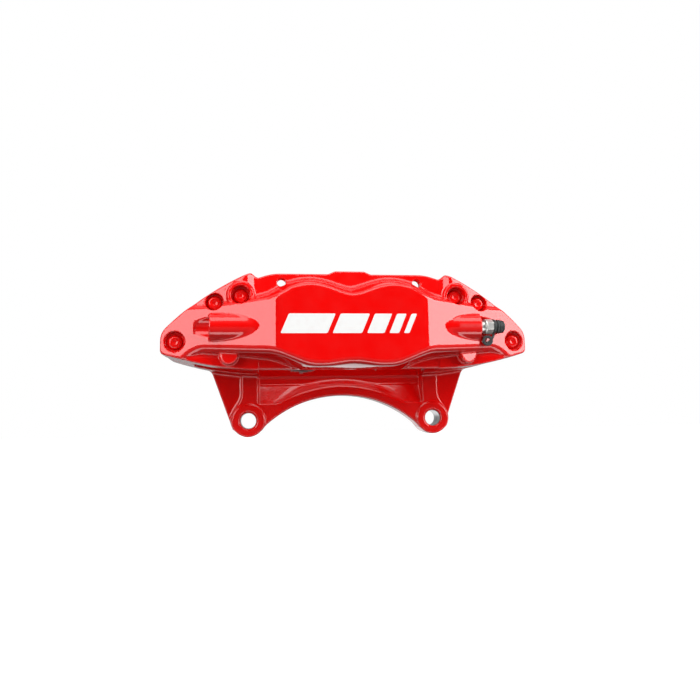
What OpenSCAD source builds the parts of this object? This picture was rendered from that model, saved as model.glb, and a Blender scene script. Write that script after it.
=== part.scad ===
// Two-piece fixed brake caliper with four opposed pistons, lug mounted.
// Frame: origin midway between the two lug bolt holes, on the lugs' inboard face.
// +X runs along the caliper, +Y points inboard along the wheel axis, +Z points away from the axle.

/* [Mounting lugs] */
// Distance between the two lug bolt centres
lug_spacing = 152; // [140:1:164]
// Radius of the lug bolt holes
lug_hole_r = 6.2; // [5.2:0.1:7.2]
// Outside radius of the lug bosses
lug_boss_r = 13; // [11:0.5:15]
// Thickness of the lug bosses along the wheel axis
lug_t = 20; // [16:1:21]
// Depth of the wheel axis below the lug bolt centres
axle_drop = 74; // [70:1:78]
// Radius of the hub arch under the mounting web
arch_r = 93.5; // [88:0.5:96]
// Width of the raised rim that follows the arch
arch_rim = 6; // [4:0.5:9]
// Width of the rib above each lug
rib_w = 10.5; // [8:0.5:13]

/* [Disc] */
// Distance from the lug face to the disc's centre plane
disc_offset = 41; // [39:0.5:46]
// Outside radius of the disc that the caliper straddles
disc_r = 163; // [158:1:164]
// Radial gap between the disc's edge and the bridge
disc_gap = 4; // [3:0.5:7]
// Width of the slot that the disc runs in
disc_slot_w = 35; // [32:1:37]

/* [Housings] */
// Overall length along X
body_len = 276; // [264:2:290]
// Radius of the outer edge about the wheel axis
outer_r = 195.5; // [195:0.5:202]
// Height of the underside of the cylinder blocks
body_z0 = 37; // [34:0.5:38]
// Height of the top edge of the pad flanges
flange_z = 107.3; // [106:0.1:110]
// Thickness of the pad flanges
flange_t = 8; // [6:0.5:10]
// Height of the raised centre of each flange's top edge
bump_h = 2.2; // [1:0.1:4]
// Length of the pad bay between the two abutment walls
bay_len = 136; // [132:1:138]
// Width of the pad bay between the two cylinder walls
bay_w = 62; // [60:1:66]
// Wall between the outboard bores and the front face
front_wall = 5; // [4:0.5:8]
// Wall between the inboard bores and the back face
back_wall = 3; // [2.5:0.5:6]
// Wall outside the disc slot at the tips
tip_wall = 11.5; // [9.5:0.5:13.5]
// Width of each tip, measured towards the axle from the outer edge
tip_h = 10; // [8:0.5:13]

/* [Cylinders] */
// Distance of each cylinder from the middle of the caliper
cyl_x = 31; // [30:0.5:32]
// Height of the cylinder centres
cyl_z = 66; // [65:0.5:67]
// Radius of the left pistons
piston_r_left = 22; // [19:0.5:22.5]
// Radius of the right pistons
piston_r_right = 20; // [18:0.5:22.5]
// Radial running clearance of a piston in its bore
piston_fit = 0.05; // [0.03:0.01:0.09]
// Depth of each bore from the pad bay's wall
bore_depth = 21; // [20:0.5:22]
// Wall round the larger cylinder, at the front face
cyl_wall = 7; // [5:0.5:9]
// Length of each piston
piston_len = 20; // [18:0.5:21]
// How far a retracted piston stands into the pad bay
piston_out = 2.5; // [2:0.5:5]
// Wall of the hollow piston
piston_wall = 4.5; // [3:0.5:6]
// Width of the square pressure seal along the bore
seal_w = 2.5; // [2:0.1:3]
// Radial depth of the seal groove
seal_groove = 2.5; // [2:0.1:3]
// Radial depth of the dust boot's counterbore
boot_groove = 4; // [3:0.5:4.5]

/* [Fasteners and fluid fittings] */
// Radius of the bridge bolts
bolt_r = 5; // [4:0.5:5.5]
// Radius of the bridge bolt heads
bolt_head_r = 6.8; // [6:0.1:7]
// Height of the bridge bolt heads
bolt_head_h = 9; // [7:0.5:10]
// Radius of the bleed screw's thread
bleed_r = 5; // [4:0.5:5.5]
// Hexagon of the bleed screw across its flats
bleed_hex = 10; // [8:1:12]
// Radius of the bleed screw bosses
bleed_boss_r = 9.5; // [9:0.5:11]
// Radius of the hose inlet's tapped hole
inlet_r = 4.5; // [4:0.5:6]
// Depth of the hose inlet's tapped hole
inlet_len = 12; // [10:1:13]
// Radius of the pad pin holes
pin_r = 3.25; // [2.5:0.25:4]
// Distance of each pad pin hole from the middle
pin_x = 50.5; // [48:0.5:52]
// Height of the pad pin holes
pin_z = 100.5; // [99:0.5:101.5]
// Thickness of the stainless abutment plates
plate_t = 1; // [0.8:0.1:1.5]

/* [Hidden] */
$fn = 96;
eps = 0.01;

left = -1;
right = 1;
outboard = -1;
inboard = 1;

half_len = body_len / 2;
half_bay = bay_len / 2;
lug_x = lug_spacing / 2;
wall_w = bay_w / 2;
slot_w = disc_slot_w / 2;
slot_r = disc_r + disc_gap;
front_w = wall_w + bore_depth + front_wall;
back_w = wall_w + bore_depth + back_wall;
tip_w = slot_w + tip_wall;

// The shoulder is the low outer face that the bridge bolts sit in.
shoulder_w = wall_w + flange_t + 1.5;
shoulder_x = half_bay + 8;
// Half length of the flat front panel; the face slopes back from there to the tips.
panel_x = 56;
face_low_z = 51;
face_high_z = 81.5;
face_inner_z = 85.5;
valley_z = flange_z - 3.7;
bottom_rise = 3.3;
// Slant at each end of the pad flange, and the half widths of its raised centre.
flange_slant = 10.5;
bump_foot = 16;
bump_top = 11;
// Step at the inner top corner of each bridge end.
knob_x = half_bay + 4.5;
knob_h = 4.4;
// Undercut below the sloping face, and the round boss that stands in it.
ledge_x0 = panel_x - 12;
ledge_x1 = half_len - 18;
ledge_lean = 9;
stub_x = half_bay + 20.5;
stub_z = body_z0 + 10;
stub_r = 6;
stub_w0 = wall_w - 8;
stub_w1 = wall_w + 11;

// Lobes over the cylinders, seen as a wavy edge round the front panel.
lobe_top_r = max(piston_r_left, piston_r_right) + cyl_wall;
lobe_root_r = lobe_top_r + 7.5;

// Underside of each bridge end: it rises past the bay, then meets the disc slot near the tip.
rise_x = half_bay + 28;
turn_x = half_len - 20;
turn_z = arc_z(turn_x, slot_r + 0.3);
tip_z0 = arc_z(half_len, outer_r - tip_h);

// Bridge bolts on each side: inner, outer and tip. bolt_edge is how far inside the outer edge
// each one lies; recesses and head seats are sunk below the shoulder.
bolt_x = [half_bay + 12, half_bay + 30.8, half_len - 10.7];
bolt_edge = [12.7, 7.6, 12.4];
recess_r = [7, 6.5, 8.7];
recess_depth = [3.3, 3.8, 3];
seat_depth = [9.8, 9.3, 10.5];
bolt_end = 2.5;
bolt_gap = 0.2;
thread_bite = 0.1;

// Bleed screw line: runs along X, in a boss on the sloping face.
bleed_w = wall_w + 13;
bleed_z = 67;
bleed_end = [half_bay + 34, half_bay + 29];
bleed_seat_r = 7.5;
bleed_seat_x = face_x(bleed_w - bleed_seat_r, front_w);
bleed_depth = 16;
bleed_fit = 0.05;
hex_gap = 4.4;
hex_len = 4.6;
nipple_len = 7;
nipple_neck_r = 2.9;
nipple_r = 3.6;
nipple_tip_r = 2.4;
nipple_hole_r = 1;
cap_gap = 0.3;
cap_len = 9;
cap_rim_r = 5.6;
cap_neck_r = 4.9;
cap_r = 5.4;
cap_end_r = 4.4;
cap_hole_r = 3.9;
strap_t = 1.8;
eye_r = 4;
eye_drop = 10.5;
eye_gap = 1.5;

// Passages
drill_r = 1.5;
passage_w = wall_w + bore_depth - 2.2;
cross_x = half_bay + 29;
cross_z = 72;
oring_r = 3.6;
oring_section = 0.9;
oring_seat_r = oring_r + oring_section + 0.3;

// Depth of the seal groove and of the boot's counterbore from the pad bay's wall.
seal_w0 = 2.4;
boot_w = 2;
// Chamfer at both ends of a piston, and the groove near its nose.
piston_chamfer = 1;
nose_groove0 = 1.2;
nose_groove1 = 3.2;
nose_groove_depth = 1.6;
boot_bead_gap = 0.3;
boot_fold_in = 0.5;
boot_fold_out = 2.5;
boot_lip_in = 1.5;
boot_lip_w = 0.4;

plate_gap = 0.5;
plate_z0 = 44;
plate_z1 = 89;
plate_screw_r = 2;
plate_screw_len = 11;
plate_head_r = 4;
plate_head_h = 2;
plate_key_r = 1.4;
plate_key_depth = 1;

// Mounting web. The deep pocket lies 1 mm behind the cylinder wall, so a pad passes over it.
deep_front = wall_w - disc_offset + 1;
web_back = deep_front + 6;
web_top = body_z0 + 6;
web_top_x = half_bay + 38.5;
web_side = 5.5;
rim_front = -lug_t;
pocket_front = deep_front - 4;
step_z = 28;
pocket_z = 13;
rib_foot = 3;
web_heel_z = 9;
web_toe_z = 5;
web_foot_z = 10;
web_foot_in = 8;
// Block that carries the web up behind the pads: how far it goes below and above the underside.
carrier_z = 12;
carrier_over = 6;
carrier_t = 18;
lug_chamfer = 1;

inlet_boss_r = 9.5;
inlet_boss_h = 6;
inlet_face = back_w + inlet_boss_h;

paint = "red";
alloy = "silver";
steel = "lightsteelblue";
black = "#2a2a2c";

// Depth of the sloping face at a distance x from the middle, for a front face at w.
function face_w(x, w) = w - (x - panel_x) * (w - tip_w) / (half_len - panel_x);
// Where the sloping face passes a given depth: the reverse of face_w.
function face_x(depth, w) = panel_x + (w - depth) * (half_len - panel_x) / (w - tip_w);
function piston_r(end) = end == left ? piston_r_left : piston_r_right;
function bore_r(end) = piston_r(end) + piston_fit;
// Height of a point at a distance x from the middle, on a circle of radius r about the wheel axis.
function arc_z(x, r) = sqrt(r * r - x * x) - axle_drop;
function bolt_z(i) = arc_z(bolt_x[i], outer_r - bolt_edge[i]);
function shoulder_at(x) = shoulder_w - (x - shoulder_x) * (shoulder_w - tip_w) / (half_len - shoulder_x);
function recess_w(i) = shoulder_at(bolt_x[i]) - recess_depth[i];
function seat_w(i) = shoulder_at(bolt_x[i]) - seat_depth[i];

// ---- helpers ----

// Places a half that is drawn with +Y pointing away from the disc's centre plane.
module on_side(side) {
    translate([0, -disc_offset, 0])
        if (side == outboard) mirror([0, 1, 0]) children();
        else children();
}

// Places what is drawn at the right-hand end at either end.
module on_end(end) {
    if (end == left) mirror([1, 0, 0]) children();
    else children();
}

// Draws what is given at the right-hand end at both ends.
module both_ends() {
    children();
    mirror([1, 0, 0]) children();
}

// Extrudes an XZ outline along Y from y0 to y1.
module along_y(y0, y1) {
    translate([0, y1, 0]) rotate([90, 0, 0]) linear_extrude(y1 - y0) children();
}

// Extrudes a YZ outline, given as (y, z) points, along X from x0 to x1.
module along_x(x0, x1) {
    translate([x0, 0, 0]) rotate([90, 0, 90]) linear_extrude(x1 - x0) children();
}

// Round bar along Y from y0 to y1, tapering from radius r0 to r1.
module bar_y(x, z, y0, y1, r0, r1) {
    translate([x, y0, z]) rotate([-90, 0, 0]) cylinder(h = y1 - y0, r1 = r0, r2 = r1);
}

// Round bar along X from x0 to x1, tapering from radius r0 to r1.
module bar_x(y, z, x0, x1, r0, r1) {
    translate([x0, y, z]) rotate([0, 90, 0]) cylinder(h = x1 - x0, r1 = r0, r2 = r1);
}

// Straight drilling of radius r from point p to point q.
module drilling(p, q, r) {
    d = q - p;
    translate(p)
        rotate([0, acos(d.z / norm(d)), atan2(d.y, d.x)])
            cylinder(h = norm(d), r = r, $fn = 32);
}

// ---- housings ----

// Outline of one end of the bridge, seen along the wheel axis.
module end_outline() {
    polygon([
        [half_bay, body_z0], [rise_x, body_z0 + bottom_rise], [turn_x, turn_z], [half_len, tip_z0],
        [half_len, outer_r], [knob_x, outer_r], [knob_x, valley_z + knob_h],
        [half_bay, valley_z]
    ]);
}

// Trims whatever it holds to the outer edge, which is round about the wheel axis.
module trim_outer() {
    intersection() {
        children();
        bar_y(0, -axle_drop, -1, front_w + 10, outer_r, outer_r);
    }
}

// Low block of one end: abutment wall, bridge and shoulder.
module end_block() {
    trim_outer() intersection() {
        along_y(0, shoulder_w + 1) end_outline();
        linear_extrude(outer_r) polygon([
            [half_bay, 0], [half_len, 0], [half_len, tip_w],
            [shoulder_x, shoulder_w], [half_bay, shoulder_w]
        ]);
    }
}

// Raised sloping face of one end, undercut below its lower edge.
module end_face(front) {
    inner = half_bay - 1;
    outer = half_len - 3;
    trim_outer() intersection() {
        along_y(tip_w - 2, front + 1) polygon([
            [inner, body_z0 + eps], [rise_x, body_z0 + bottom_rise], [outer, tip_z0],
            [outer, face_high_z], [half_bay + 22, face_high_z], [inner, face_inner_z]
        ]);
        linear_extrude(outer_r) polygon([
            [inner, wall_w], [outer, tip_w - 1], [outer, face_w(outer, front)],
            [inner, face_w(inner, front)]
        ]);
    }
}

// Undercut below the sloping face, which leaves a narrow bottom rim.
module ledge_cut(front) {
    foot_w = wall_w + 1;
    along_x(ledge_x0, ledge_x1) polygon([
        [foot_w, body_z0 - 1], [front + 2, body_z0 - 1],
        [front + 2, face_low_z], [foot_w + ledge_lean, face_low_z]
    ]);
}

// Pad flange, with a shallow raised centre.
module flange() {
    along_y(wall_w, wall_w + flange_t) polygon([
        [-half_bay - eps, body_z0], [half_bay + eps, body_z0],
        [half_bay + eps, valley_z], [half_bay - flange_slant, flange_z],
        [bump_foot, flange_z], [bump_top, flange_z + bump_h],
        [-bump_top, flange_z + bump_h], [-bump_foot, flange_z],
        [-half_bay + flange_slant, flange_z], [-half_bay - eps, valley_z]
    ]);
}

// Flat panel across the two cylinders, and the lobes that round them.
module panel(front) {
    intersection() {
        along_y(wall_w, front) polygon([
            [-half_bay, face_low_z], [-cyl_x, body_z0 + 4], [cyl_x, body_z0 + 4],
            [half_bay, face_low_z], [half_bay, face_inner_z], [panel_x - 4, face_inner_z + 3],
            [-panel_x + 4, face_inner_z + 3], [-half_bay, face_inner_z]
        ]);
        linear_extrude(outer_r) polygon([
            [-half_bay, 0], [half_bay, 0], [half_bay, face_w(half_bay, front)], [panel_x, front],
            [-panel_x, front], [-half_bay, face_w(half_bay, front)]
        ]);
    }
    intersection() {
        union() for (end = [left, right])
            bar_y(end * cyl_x, cyl_z + 0.3, wall_w + flange_t - 1, front, lobe_root_r, lobe_top_r);
        translate([-half_bay, 0, body_z0]) cube([bay_len, front + 1, outer_r]);
    }
}

// The casting of one half before machining.
module casting(front) {
    difference() {
        union() {
            both_ends() {
                end_block();
                end_face(front);
            }
            flange();
        }
        both_ends() ledge_cut(front);
    }
    panel(front);
    for (end = [left, right]) {
        on_end(end) {
            bar_x(bleed_w, bleed_z, half_bay - 6, bleed_end[(end + 1) / 2], bleed_boss_r, bleed_boss_r);
            bar_y(stub_x, stub_z, stub_w0, stub_w1, stub_r, stub_r);
        }
    }
}

// Bore, seal groove and dust boot counterbore of one cylinder.
module cylinder_cut(end) {
    r = bore_r(end);
    x = end * cyl_x;
    bar_y(x, cyl_z, wall_w - 1, wall_w + bore_depth, r, r);
    bar_y(x, cyl_z, wall_w + seal_w0, wall_w + seal_w0 + seal_w, r + seal_groove, r + seal_groove);
    bar_y(x, cyl_z, wall_w - 1, wall_w + boot_w, r + boot_groove, r + boot_groove);
}

// Fluid drillings of one half: bleed line, link between the cylinders, crossover.
module fluid_cuts() {
    end_x = bleed_end[1];
    bar_x(bleed_w, bleed_z, end_x - bleed_depth, end_x + 1, bleed_r, bleed_r);
    bar_x(bleed_w, bleed_z, end_x - bleed_depth - 3, end_x - bleed_depth + eps, drill_r, bleed_r);
    drilling([end_x - bleed_depth - 2, bleed_w, bleed_z], [cyl_x + 14, passage_w, bleed_z], drill_r);
    drilling([-cyl_x, passage_w, cyl_z], [cyl_x, passage_w, cyl_z], drill_r);
    bar_y(-cross_x, cross_z, -1, bleed_w, drill_r + 0.5, drill_r + 0.5);
    drilling([-cross_x, bleed_w, cross_z], [-cyl_x - 14, passage_w, cyl_z], drill_r);
}

// Round seats cut in the sloping face beyond the end of each bleed boss.
module seat_cuts() {
    for (end = [left, right])
        on_end(end) bar_x(bleed_w, bleed_z, bleed_end[(end + 1) / 2], bleed_seat_x, bleed_seat_r,
                          bleed_seat_r);
}

// Threaded holes for the countersunk screws that hold the abutment plates.
module plate_screw_cuts() {
    both_ends() bar_x(plate_w(), cyl_z, half_bay - 1, half_bay + plate_screw_len + 1,
                      plate_screw_r, plate_screw_r);
    both_ends() plate_head();
}

// Everything that is machined in both halves.
module common_cuts() {
    for (end = [left, right]) cylinder_cut(end);
    bar_y(0, -axle_drop, -1, slot_w, slot_r, slot_r);
    both_ends() bar_y(pin_x, pin_z, wall_w - 1, wall_w + flange_t + 12, pin_r, pin_r);
    fluid_cuts();
    seat_cuts();
    plate_screw_cuts();
}

// Outboard half: the bridge bolts are threaded into it.
module outboard_housing() {
    color(paint) on_side(outboard) difference() {
        casting(front_w);
        common_cuts();
        both_ends() for (i = [0 : 2]) {
            bar_y(bolt_x[i], bolt_z(i), -1, recess_w(i) + 1, bolt_r - thread_bite, bolt_r - thread_bite);
            bar_y(bolt_x[i], bolt_z(i), recess_w(i), front_w, recess_r[i], recess_r[i]);
        }
    }
}

// Inboard half: head seats, hose inlet, crossover seal's seat and the mounting web.
module inboard_housing() {
    color(paint) difference() {
        union() {
            on_side(inboard) {
                casting(back_w);
                bar_y(0, cyl_z, wall_w + bore_depth - 2, inlet_face, inlet_boss_r, inlet_boss_r - 0.5);
            }
            mounting_web();
        }
        on_side(inboard) {
            common_cuts();
            both_ends() for (i = [0 : 2]) {
                bar_y(bolt_x[i], bolt_z(i), -1, seat_w(i) + 1, bolt_r + bolt_gap, bolt_r + bolt_gap);
                bar_y(bolt_x[i], bolt_z(i), seat_w(i), front_w, bolt_head_r + bolt_gap,
                      bolt_head_r + bolt_gap);
            }
            bar_y(0, cyl_z, inlet_face - inlet_len, inlet_face + 1, inlet_r, inlet_r);
            bar_y(0, cyl_z, passage_w, back_w, drill_r, drill_r);
            bar_y(-cross_x, cross_z, -1, 2 * oring_section, oring_seat_r, oring_seat_r);
        }
        lug_cuts();
    }
}

// Web below the inboard half: lugs, arch, ribs and pockets.
module mounting_web() {
    heel_x = lug_x + lug_boss_r + web_side;
    toe_x = lug_x + lug_boss_r - 1;
    foot_x = lug_x - web_foot_in;
    difference() {
        union() {
            along_y(rim_front, web_back) polygon([
                [-web_top_x, web_top], [-heel_x, web_heel_z], [-toe_x, -web_toe_z],
                [-foot_x, -web_foot_z], [foot_x, -web_foot_z], [toe_x, -web_toe_z],
                [heel_x, web_heel_z], [web_top_x, web_top]
            ]);
            both_ends() bar_y(lug_x, 0, rim_front, 0, lug_boss_r, lug_boss_r);
            translate([-half_bay, deep_front, body_z0 - carrier_z])
                cube([bay_len, carrier_t, carrier_z + carrier_over]);
        }
        bar_y(0, -axle_drop, rim_front - 1, 10, arch_r, arch_r);
        web_pockets();
    }
}

// Pockets in the web's front face.
module web_pockets() {
    pocket_half = lug_x - rib_w / 2 - rib_foot;
    // Shallow pocket between the ribs, deeper above the step
    difference() {
        union() {
            along_y(rim_front - 1, pocket_front) window(pocket_half, pocket_z, web_top + 1);
            along_y(rim_front - 1, deep_front) window(pocket_half, step_z, web_top + 1);
        }
        bar_y(0, -axle_drop, rim_front - 2, 0, arch_r + 2 * arch_rim, arch_r + arch_rim);
    }
    // Pocket outside each rib
    both_ends() along_y(rim_front - 1, pocket_front + 2) polygon([
        [lug_x + rib_w / 2, lug_boss_r + 3], [lug_x + lug_boss_r - 0.5, lug_boss_r - 1],
        [rise_x, body_z0 - 1], [lug_x + rib_w / 2, body_z0 - 1]
    ]);
}

// Rectangle about the middle, from height z0 to z1.
module window(half_w, z0, z1) {
    translate([-half_w, z0]) square([2 * half_w, z1 - z0]);
}

// Lug bolt holes, chamfered at the front.
module lug_cuts() {
    both_ends() {
        bar_y(lug_x, 0, rim_front - 1, 1, lug_hole_r, lug_hole_r);
        bar_y(lug_x, 0, rim_front - eps, rim_front + lug_chamfer, lug_hole_r + lug_chamfer, lug_hole_r);
    }
}

// ---- pistons and their seals ----

// Cup open to the pad bay.
module piston(side, end) {
    r = piston_r(end);
    nose = wall_w - piston_out;
    crown = nose + piston_len;
    c = piston_chamfer;
    color(alloy) on_side(side) difference() {
        union() {
            bar_y(end * cyl_x, cyl_z, nose, nose + c, r - c, r);
            bar_y(end * cyl_x, cyl_z, nose + c, crown - c, r, r);
            bar_y(end * cyl_x, cyl_z, crown - c, crown, r, r - c);
        }
        bar_y(end * cyl_x, cyl_z, nose - 1, crown - piston_wall, r - piston_wall, r - piston_wall);
        boot_seat(end, r);
    }
}

// Groove in the piston's nose that holds the dust boot's inner bead.
module boot_seat(end, r) {
    nose = wall_w - piston_out;
    difference() {
        bar_y(end * cyl_x, cyl_z, nose + nose_groove0, nose + nose_groove1, r + 1, r + 1);
        bar_y(end * cyl_x, cyl_z, nose, nose + nose_groove1 + 1, r - nose_groove_depth,
              r - nose_groove_depth);
    }
}

// Ring about a cylinder's line, from depth w0 to w1.
module ring(end, w0, w1, r_in, r_out) {
    difference() {
        bar_y(end * cyl_x, cyl_z, w0, w1, r_out, r_out);
        bar_y(end * cyl_x, cyl_z, w0 - 1, w1 + 1, r_in, r_in);
    }
}

// Square ring in the bore's groove.
module pressure_seal(side, end) {
    w0 = wall_w + seal_w0;
    color(black) on_side(side)
        ring(end, w0, w0 + seal_w, piston_r(end) + piston_fit / 2, bore_r(end) + seal_groove);
}

// Dust boot: outer lip in the counterbore, one fold, inner bead in the piston's groove.
module dust_boot(side, end) {
    r = piston_r(end);
    bead0 = wall_w - piston_out + nose_groove0 + boot_bead_gap;
    bead1 = wall_w - piston_out + nose_groove1 - boot_bead_gap;
    lip0 = wall_w + boot_lip_w;
    color(black) on_side(side) {
        ring(end, lip0, wall_w + boot_w, r + boot_lip_in, bore_r(end) + boot_groove);
        ring(end, bead0, lip0 + eps, r + boot_fold_in, r + boot_fold_out);
        ring(end, bead0, bead1, r - nose_groove_depth + boot_bead_gap, r + boot_fold_out);
    }
}

// ---- fasteners ----

// Socket head bolt from the inboard side, threaded into the outboard half.
module bridge_bolt(end, i) {
    tail = -recess_w(i) - bolt_end;
    color(steel) on_side(inboard) on_end(end) difference() {
        union() {
            bar_y(bolt_x[i], bolt_z(i), tail, tail + 1, bolt_r - 1, bolt_r);
            bar_y(bolt_x[i], bolt_z(i), tail + 1, seat_w(i) + 1, bolt_r, bolt_r);
            bar_y(bolt_x[i], bolt_z(i), seat_w(i), seat_w(i) + bolt_head_h, bolt_head_r, bolt_head_r);
        }
        translate([bolt_x[i], seat_w(i) + bolt_head_h / 2, bolt_z(i)])
            rotate([-90, 0, 0]) cylinder(h = bolt_head_h, r = bolt_head_r / 2 * 1.15, $fn = 6);
    }
}

// Threaded root, collar, hexagon and hollow nipple.
module bleed_screw(side) {
    x0 = bleed_end[1];
    hex_x = x0 + hex_gap;
    tip_x = hex_x + hex_len;
    color(steel) on_side(side) difference() {
        union() {
            bar_x(bleed_w, bleed_z, x0 - bleed_depth - 1.5, x0 - bleed_depth + 1,
                  drill_r + 0.5, bleed_r - bleed_fit - 0.6);
            bar_x(bleed_w, bleed_z, x0 - bleed_depth + 1, x0 + 0.3, bleed_r - bleed_fit, bleed_r - bleed_fit);
            bar_x(bleed_w, bleed_z, x0 + 0.3, hex_x + eps, bleed_r - 1, bleed_r - 1);
            bar_x(bleed_w, bleed_z, hex_x - 1.4, hex_x + eps, bleed_r + 0.6, bleed_r + 0.6);
            translate([hex_x, bleed_w, bleed_z]) rotate([0, 90, 0]) rotate([0, 0, 30])
                cylinder(h = hex_len, r = bleed_hex / sqrt(3), $fn = 6);
            bar_x(bleed_w, bleed_z, tip_x - eps, tip_x + 3, nipple_neck_r, nipple_neck_r);
            bar_x(bleed_w, bleed_z, tip_x + 3, tip_x + nipple_len, nipple_r, nipple_tip_r);
        }
        bar_x(bleed_w, bleed_z, x0 - bleed_depth + 3, tip_x + nipple_len + 1, nipple_hole_r,
              nipple_hole_r);
    }
}

// Rubber cap with a strap and a hanging eyelet.
module bleed_cap(side) {
    x0 = bleed_end[1] + hex_gap + hex_len + cap_gap;
    eye_x = x0 + 0.1 - eye_r;
    eye_z = bleed_z - eye_drop;
    eye_w = eye_gap + face_w(eye_x - eye_r, side == outboard ? front_w : back_w);
    color(black) on_side(side) {
        difference() {
            union() {
                bar_x(bleed_w, bleed_z, x0, x0 + 2, cap_rim_r, cap_rim_r);
                bar_x(bleed_w, bleed_z, x0 + 2, x0 + 3.5, cap_neck_r, cap_neck_r);
                bar_x(bleed_w, bleed_z, x0 + 3.5, x0 + cap_len, cap_r, cap_end_r);
                along_y(eye_w - strap_t / 2, eye_w + strap_t / 2) polygon([
                    [x0 - 1.6, eye_z - 1.3], [x0 + 1.6, eye_z - 0.3], [x0 + 1.6, bleed_z - 4],
                    [x0 + 0.1, bleed_z - 4], [x0 + 0.1, eye_z + 3], [x0 - 1.6, eye_z + 2.4]
                ]);
            }
            bar_x(bleed_w, bleed_z, x0 - 1, x0 + nipple_len + 0.6, cap_hole_r, cap_hole_r);
        }
        difference() {
            bar_y(eye_x, eye_z, eye_w - strap_t / 2, eye_w + strap_t / 2, eye_r, eye_r);
            bar_y(eye_x, eye_z, eye_w - strap_t, eye_w + strap_t, eye_r / 2, eye_r / 2);
        }
    }
}

// Ring that seals the passage between the halves.
module crossover_seal() {
    color(black) on_side(inboard)
        translate([-cross_x, oring_section, cross_z]) rotate([-90, 0, 0])
            rotate_extrude() translate([oring_r, 0]) circle(r = oring_section, $fn = 32);
}

// ---- abutment plates ----

// Middle of the abutment wall, between the disc slot and the cylinder wall.
function plate_w() = (slot_w + wall_w) / 2;

// Countersunk head of a plate screw, at the right-hand end.
module plate_head() {
    x0 = half_bay - plate_t;
    bar_x(plate_w(), cyl_z, x0, x0 + plate_head_h, plate_head_r, plate_screw_r);
}

// Plate on the abutment wall that a pad slides on.
module abutment_plate(side, end) {
    color(alloy) on_side(side) on_end(end) difference() {
        translate([half_bay - plate_t, slot_w + plate_gap, plate_z0])
            cube([plate_t, wall_w - slot_w - 2 * plate_gap, plate_z1 - plate_z0]);
        plate_head();
    }
}

// Countersunk screw with a hexagon key hole.
module abutment_screw(side, end) {
    color(steel) on_side(side) on_end(end) difference() {
        union() {
            plate_head();
            bar_x(plate_w(), cyl_z, half_bay, half_bay + plate_screw_len, plate_screw_r, plate_screw_r);
        }
        translate([half_bay - plate_t - 1, plate_w(), cyl_z]) rotate([0, 90, 0])
            cylinder(h = 1 + plate_key_depth, r = plate_key_r, $fn = 6);
    }
}

outboard_housing();
inboard_housing();

piston(outboard, left);  // outboard_piston_left
piston(outboard, right);  // outboard_piston_right
piston(inboard, left);  // inboard_piston_left
piston(inboard, right);  // inboard_piston_right

pressure_seal(outboard, left);  // outboard_seal_left
pressure_seal(outboard, right);  // outboard_seal_right
pressure_seal(inboard, left);  // inboard_seal_left
pressure_seal(inboard, right);  // inboard_seal_right

dust_boot(outboard, left);  // outboard_boot_left
dust_boot(outboard, right);  // outboard_boot_right
dust_boot(inboard, left);  // inboard_boot_left
dust_boot(inboard, right);  // inboard_boot_right

bridge_bolt(left, 0);  // bridge_bolt_left_inner
bridge_bolt(left, 1);  // bridge_bolt_left_outer
bridge_bolt(left, 2);  // bridge_bolt_left_tip
bridge_bolt(right, 0);  // bridge_bolt_right_inner
bridge_bolt(right, 1);  // bridge_bolt_right_outer
bridge_bolt(right, 2);  // bridge_bolt_right_tip

bleed_screw(outboard);  // outboard_bleed_screw
bleed_screw(inboard);  // inboard_bleed_screw
bleed_cap(outboard);  // outboard_bleed_cap
bleed_cap(inboard);  // inboard_bleed_cap

crossover_seal();

abutment_plate(outboard, left);  // abutment_plate_outboard_left
abutment_plate(outboard, right);  // abutment_plate_outboard_right
abutment_plate(inboard, left);  // abutment_plate_inboard_left
abutment_plate(inboard, right);  // abutment_plate_inboard_right

abutment_screw(outboard, left);  // abutment_screw_outboard_left
abutment_screw(outboard, right);  // abutment_screw_outboard_right
abutment_screw(inboard, left);  // abutment_screw_inboard_left
abutment_screw(inboard, right);  // abutment_screw_inboard_right
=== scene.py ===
"""Looks of a red lug-mounted brake caliper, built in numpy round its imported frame."""

import logging
from dataclasses import dataclass, field
from enum import Enum
from typing import Callable, Sequence

import bmesh
import bpy
import numpy as np
from mathutils import Matrix, Vector


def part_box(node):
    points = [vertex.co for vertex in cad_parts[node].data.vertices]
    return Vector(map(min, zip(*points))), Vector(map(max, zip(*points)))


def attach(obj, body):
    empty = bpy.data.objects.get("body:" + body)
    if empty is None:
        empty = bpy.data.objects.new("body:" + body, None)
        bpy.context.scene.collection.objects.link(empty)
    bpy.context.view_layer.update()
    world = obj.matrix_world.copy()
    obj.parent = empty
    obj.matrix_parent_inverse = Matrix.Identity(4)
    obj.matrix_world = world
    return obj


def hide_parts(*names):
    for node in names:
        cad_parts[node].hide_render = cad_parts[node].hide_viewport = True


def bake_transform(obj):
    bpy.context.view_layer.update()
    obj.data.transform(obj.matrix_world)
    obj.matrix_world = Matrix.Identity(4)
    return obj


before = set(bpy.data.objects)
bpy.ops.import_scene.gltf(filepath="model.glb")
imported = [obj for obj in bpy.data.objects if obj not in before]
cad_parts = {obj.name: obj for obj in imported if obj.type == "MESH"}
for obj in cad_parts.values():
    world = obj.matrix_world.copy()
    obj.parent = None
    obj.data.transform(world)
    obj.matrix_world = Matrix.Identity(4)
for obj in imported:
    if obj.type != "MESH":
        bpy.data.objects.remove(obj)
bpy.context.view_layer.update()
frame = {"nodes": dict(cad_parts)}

LOG = logging.getLogger("caliper")
MM = 0.001
ROOT = "caliper"
# The disc's centre plane, in millimetres along the wheel axis.
DISC_Y = -41.0
# Radius at which a turned row is cut off, for rows that nothing cuts.
UNCUT = 99.0
Field = Callable[[np.ndarray, np.ndarray, np.ndarray], np.ndarray]
# Radius and floor of a bolt's recess, and whether it runs out through the outer edge.
BoltCut = tuple[float, float, bool]


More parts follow.
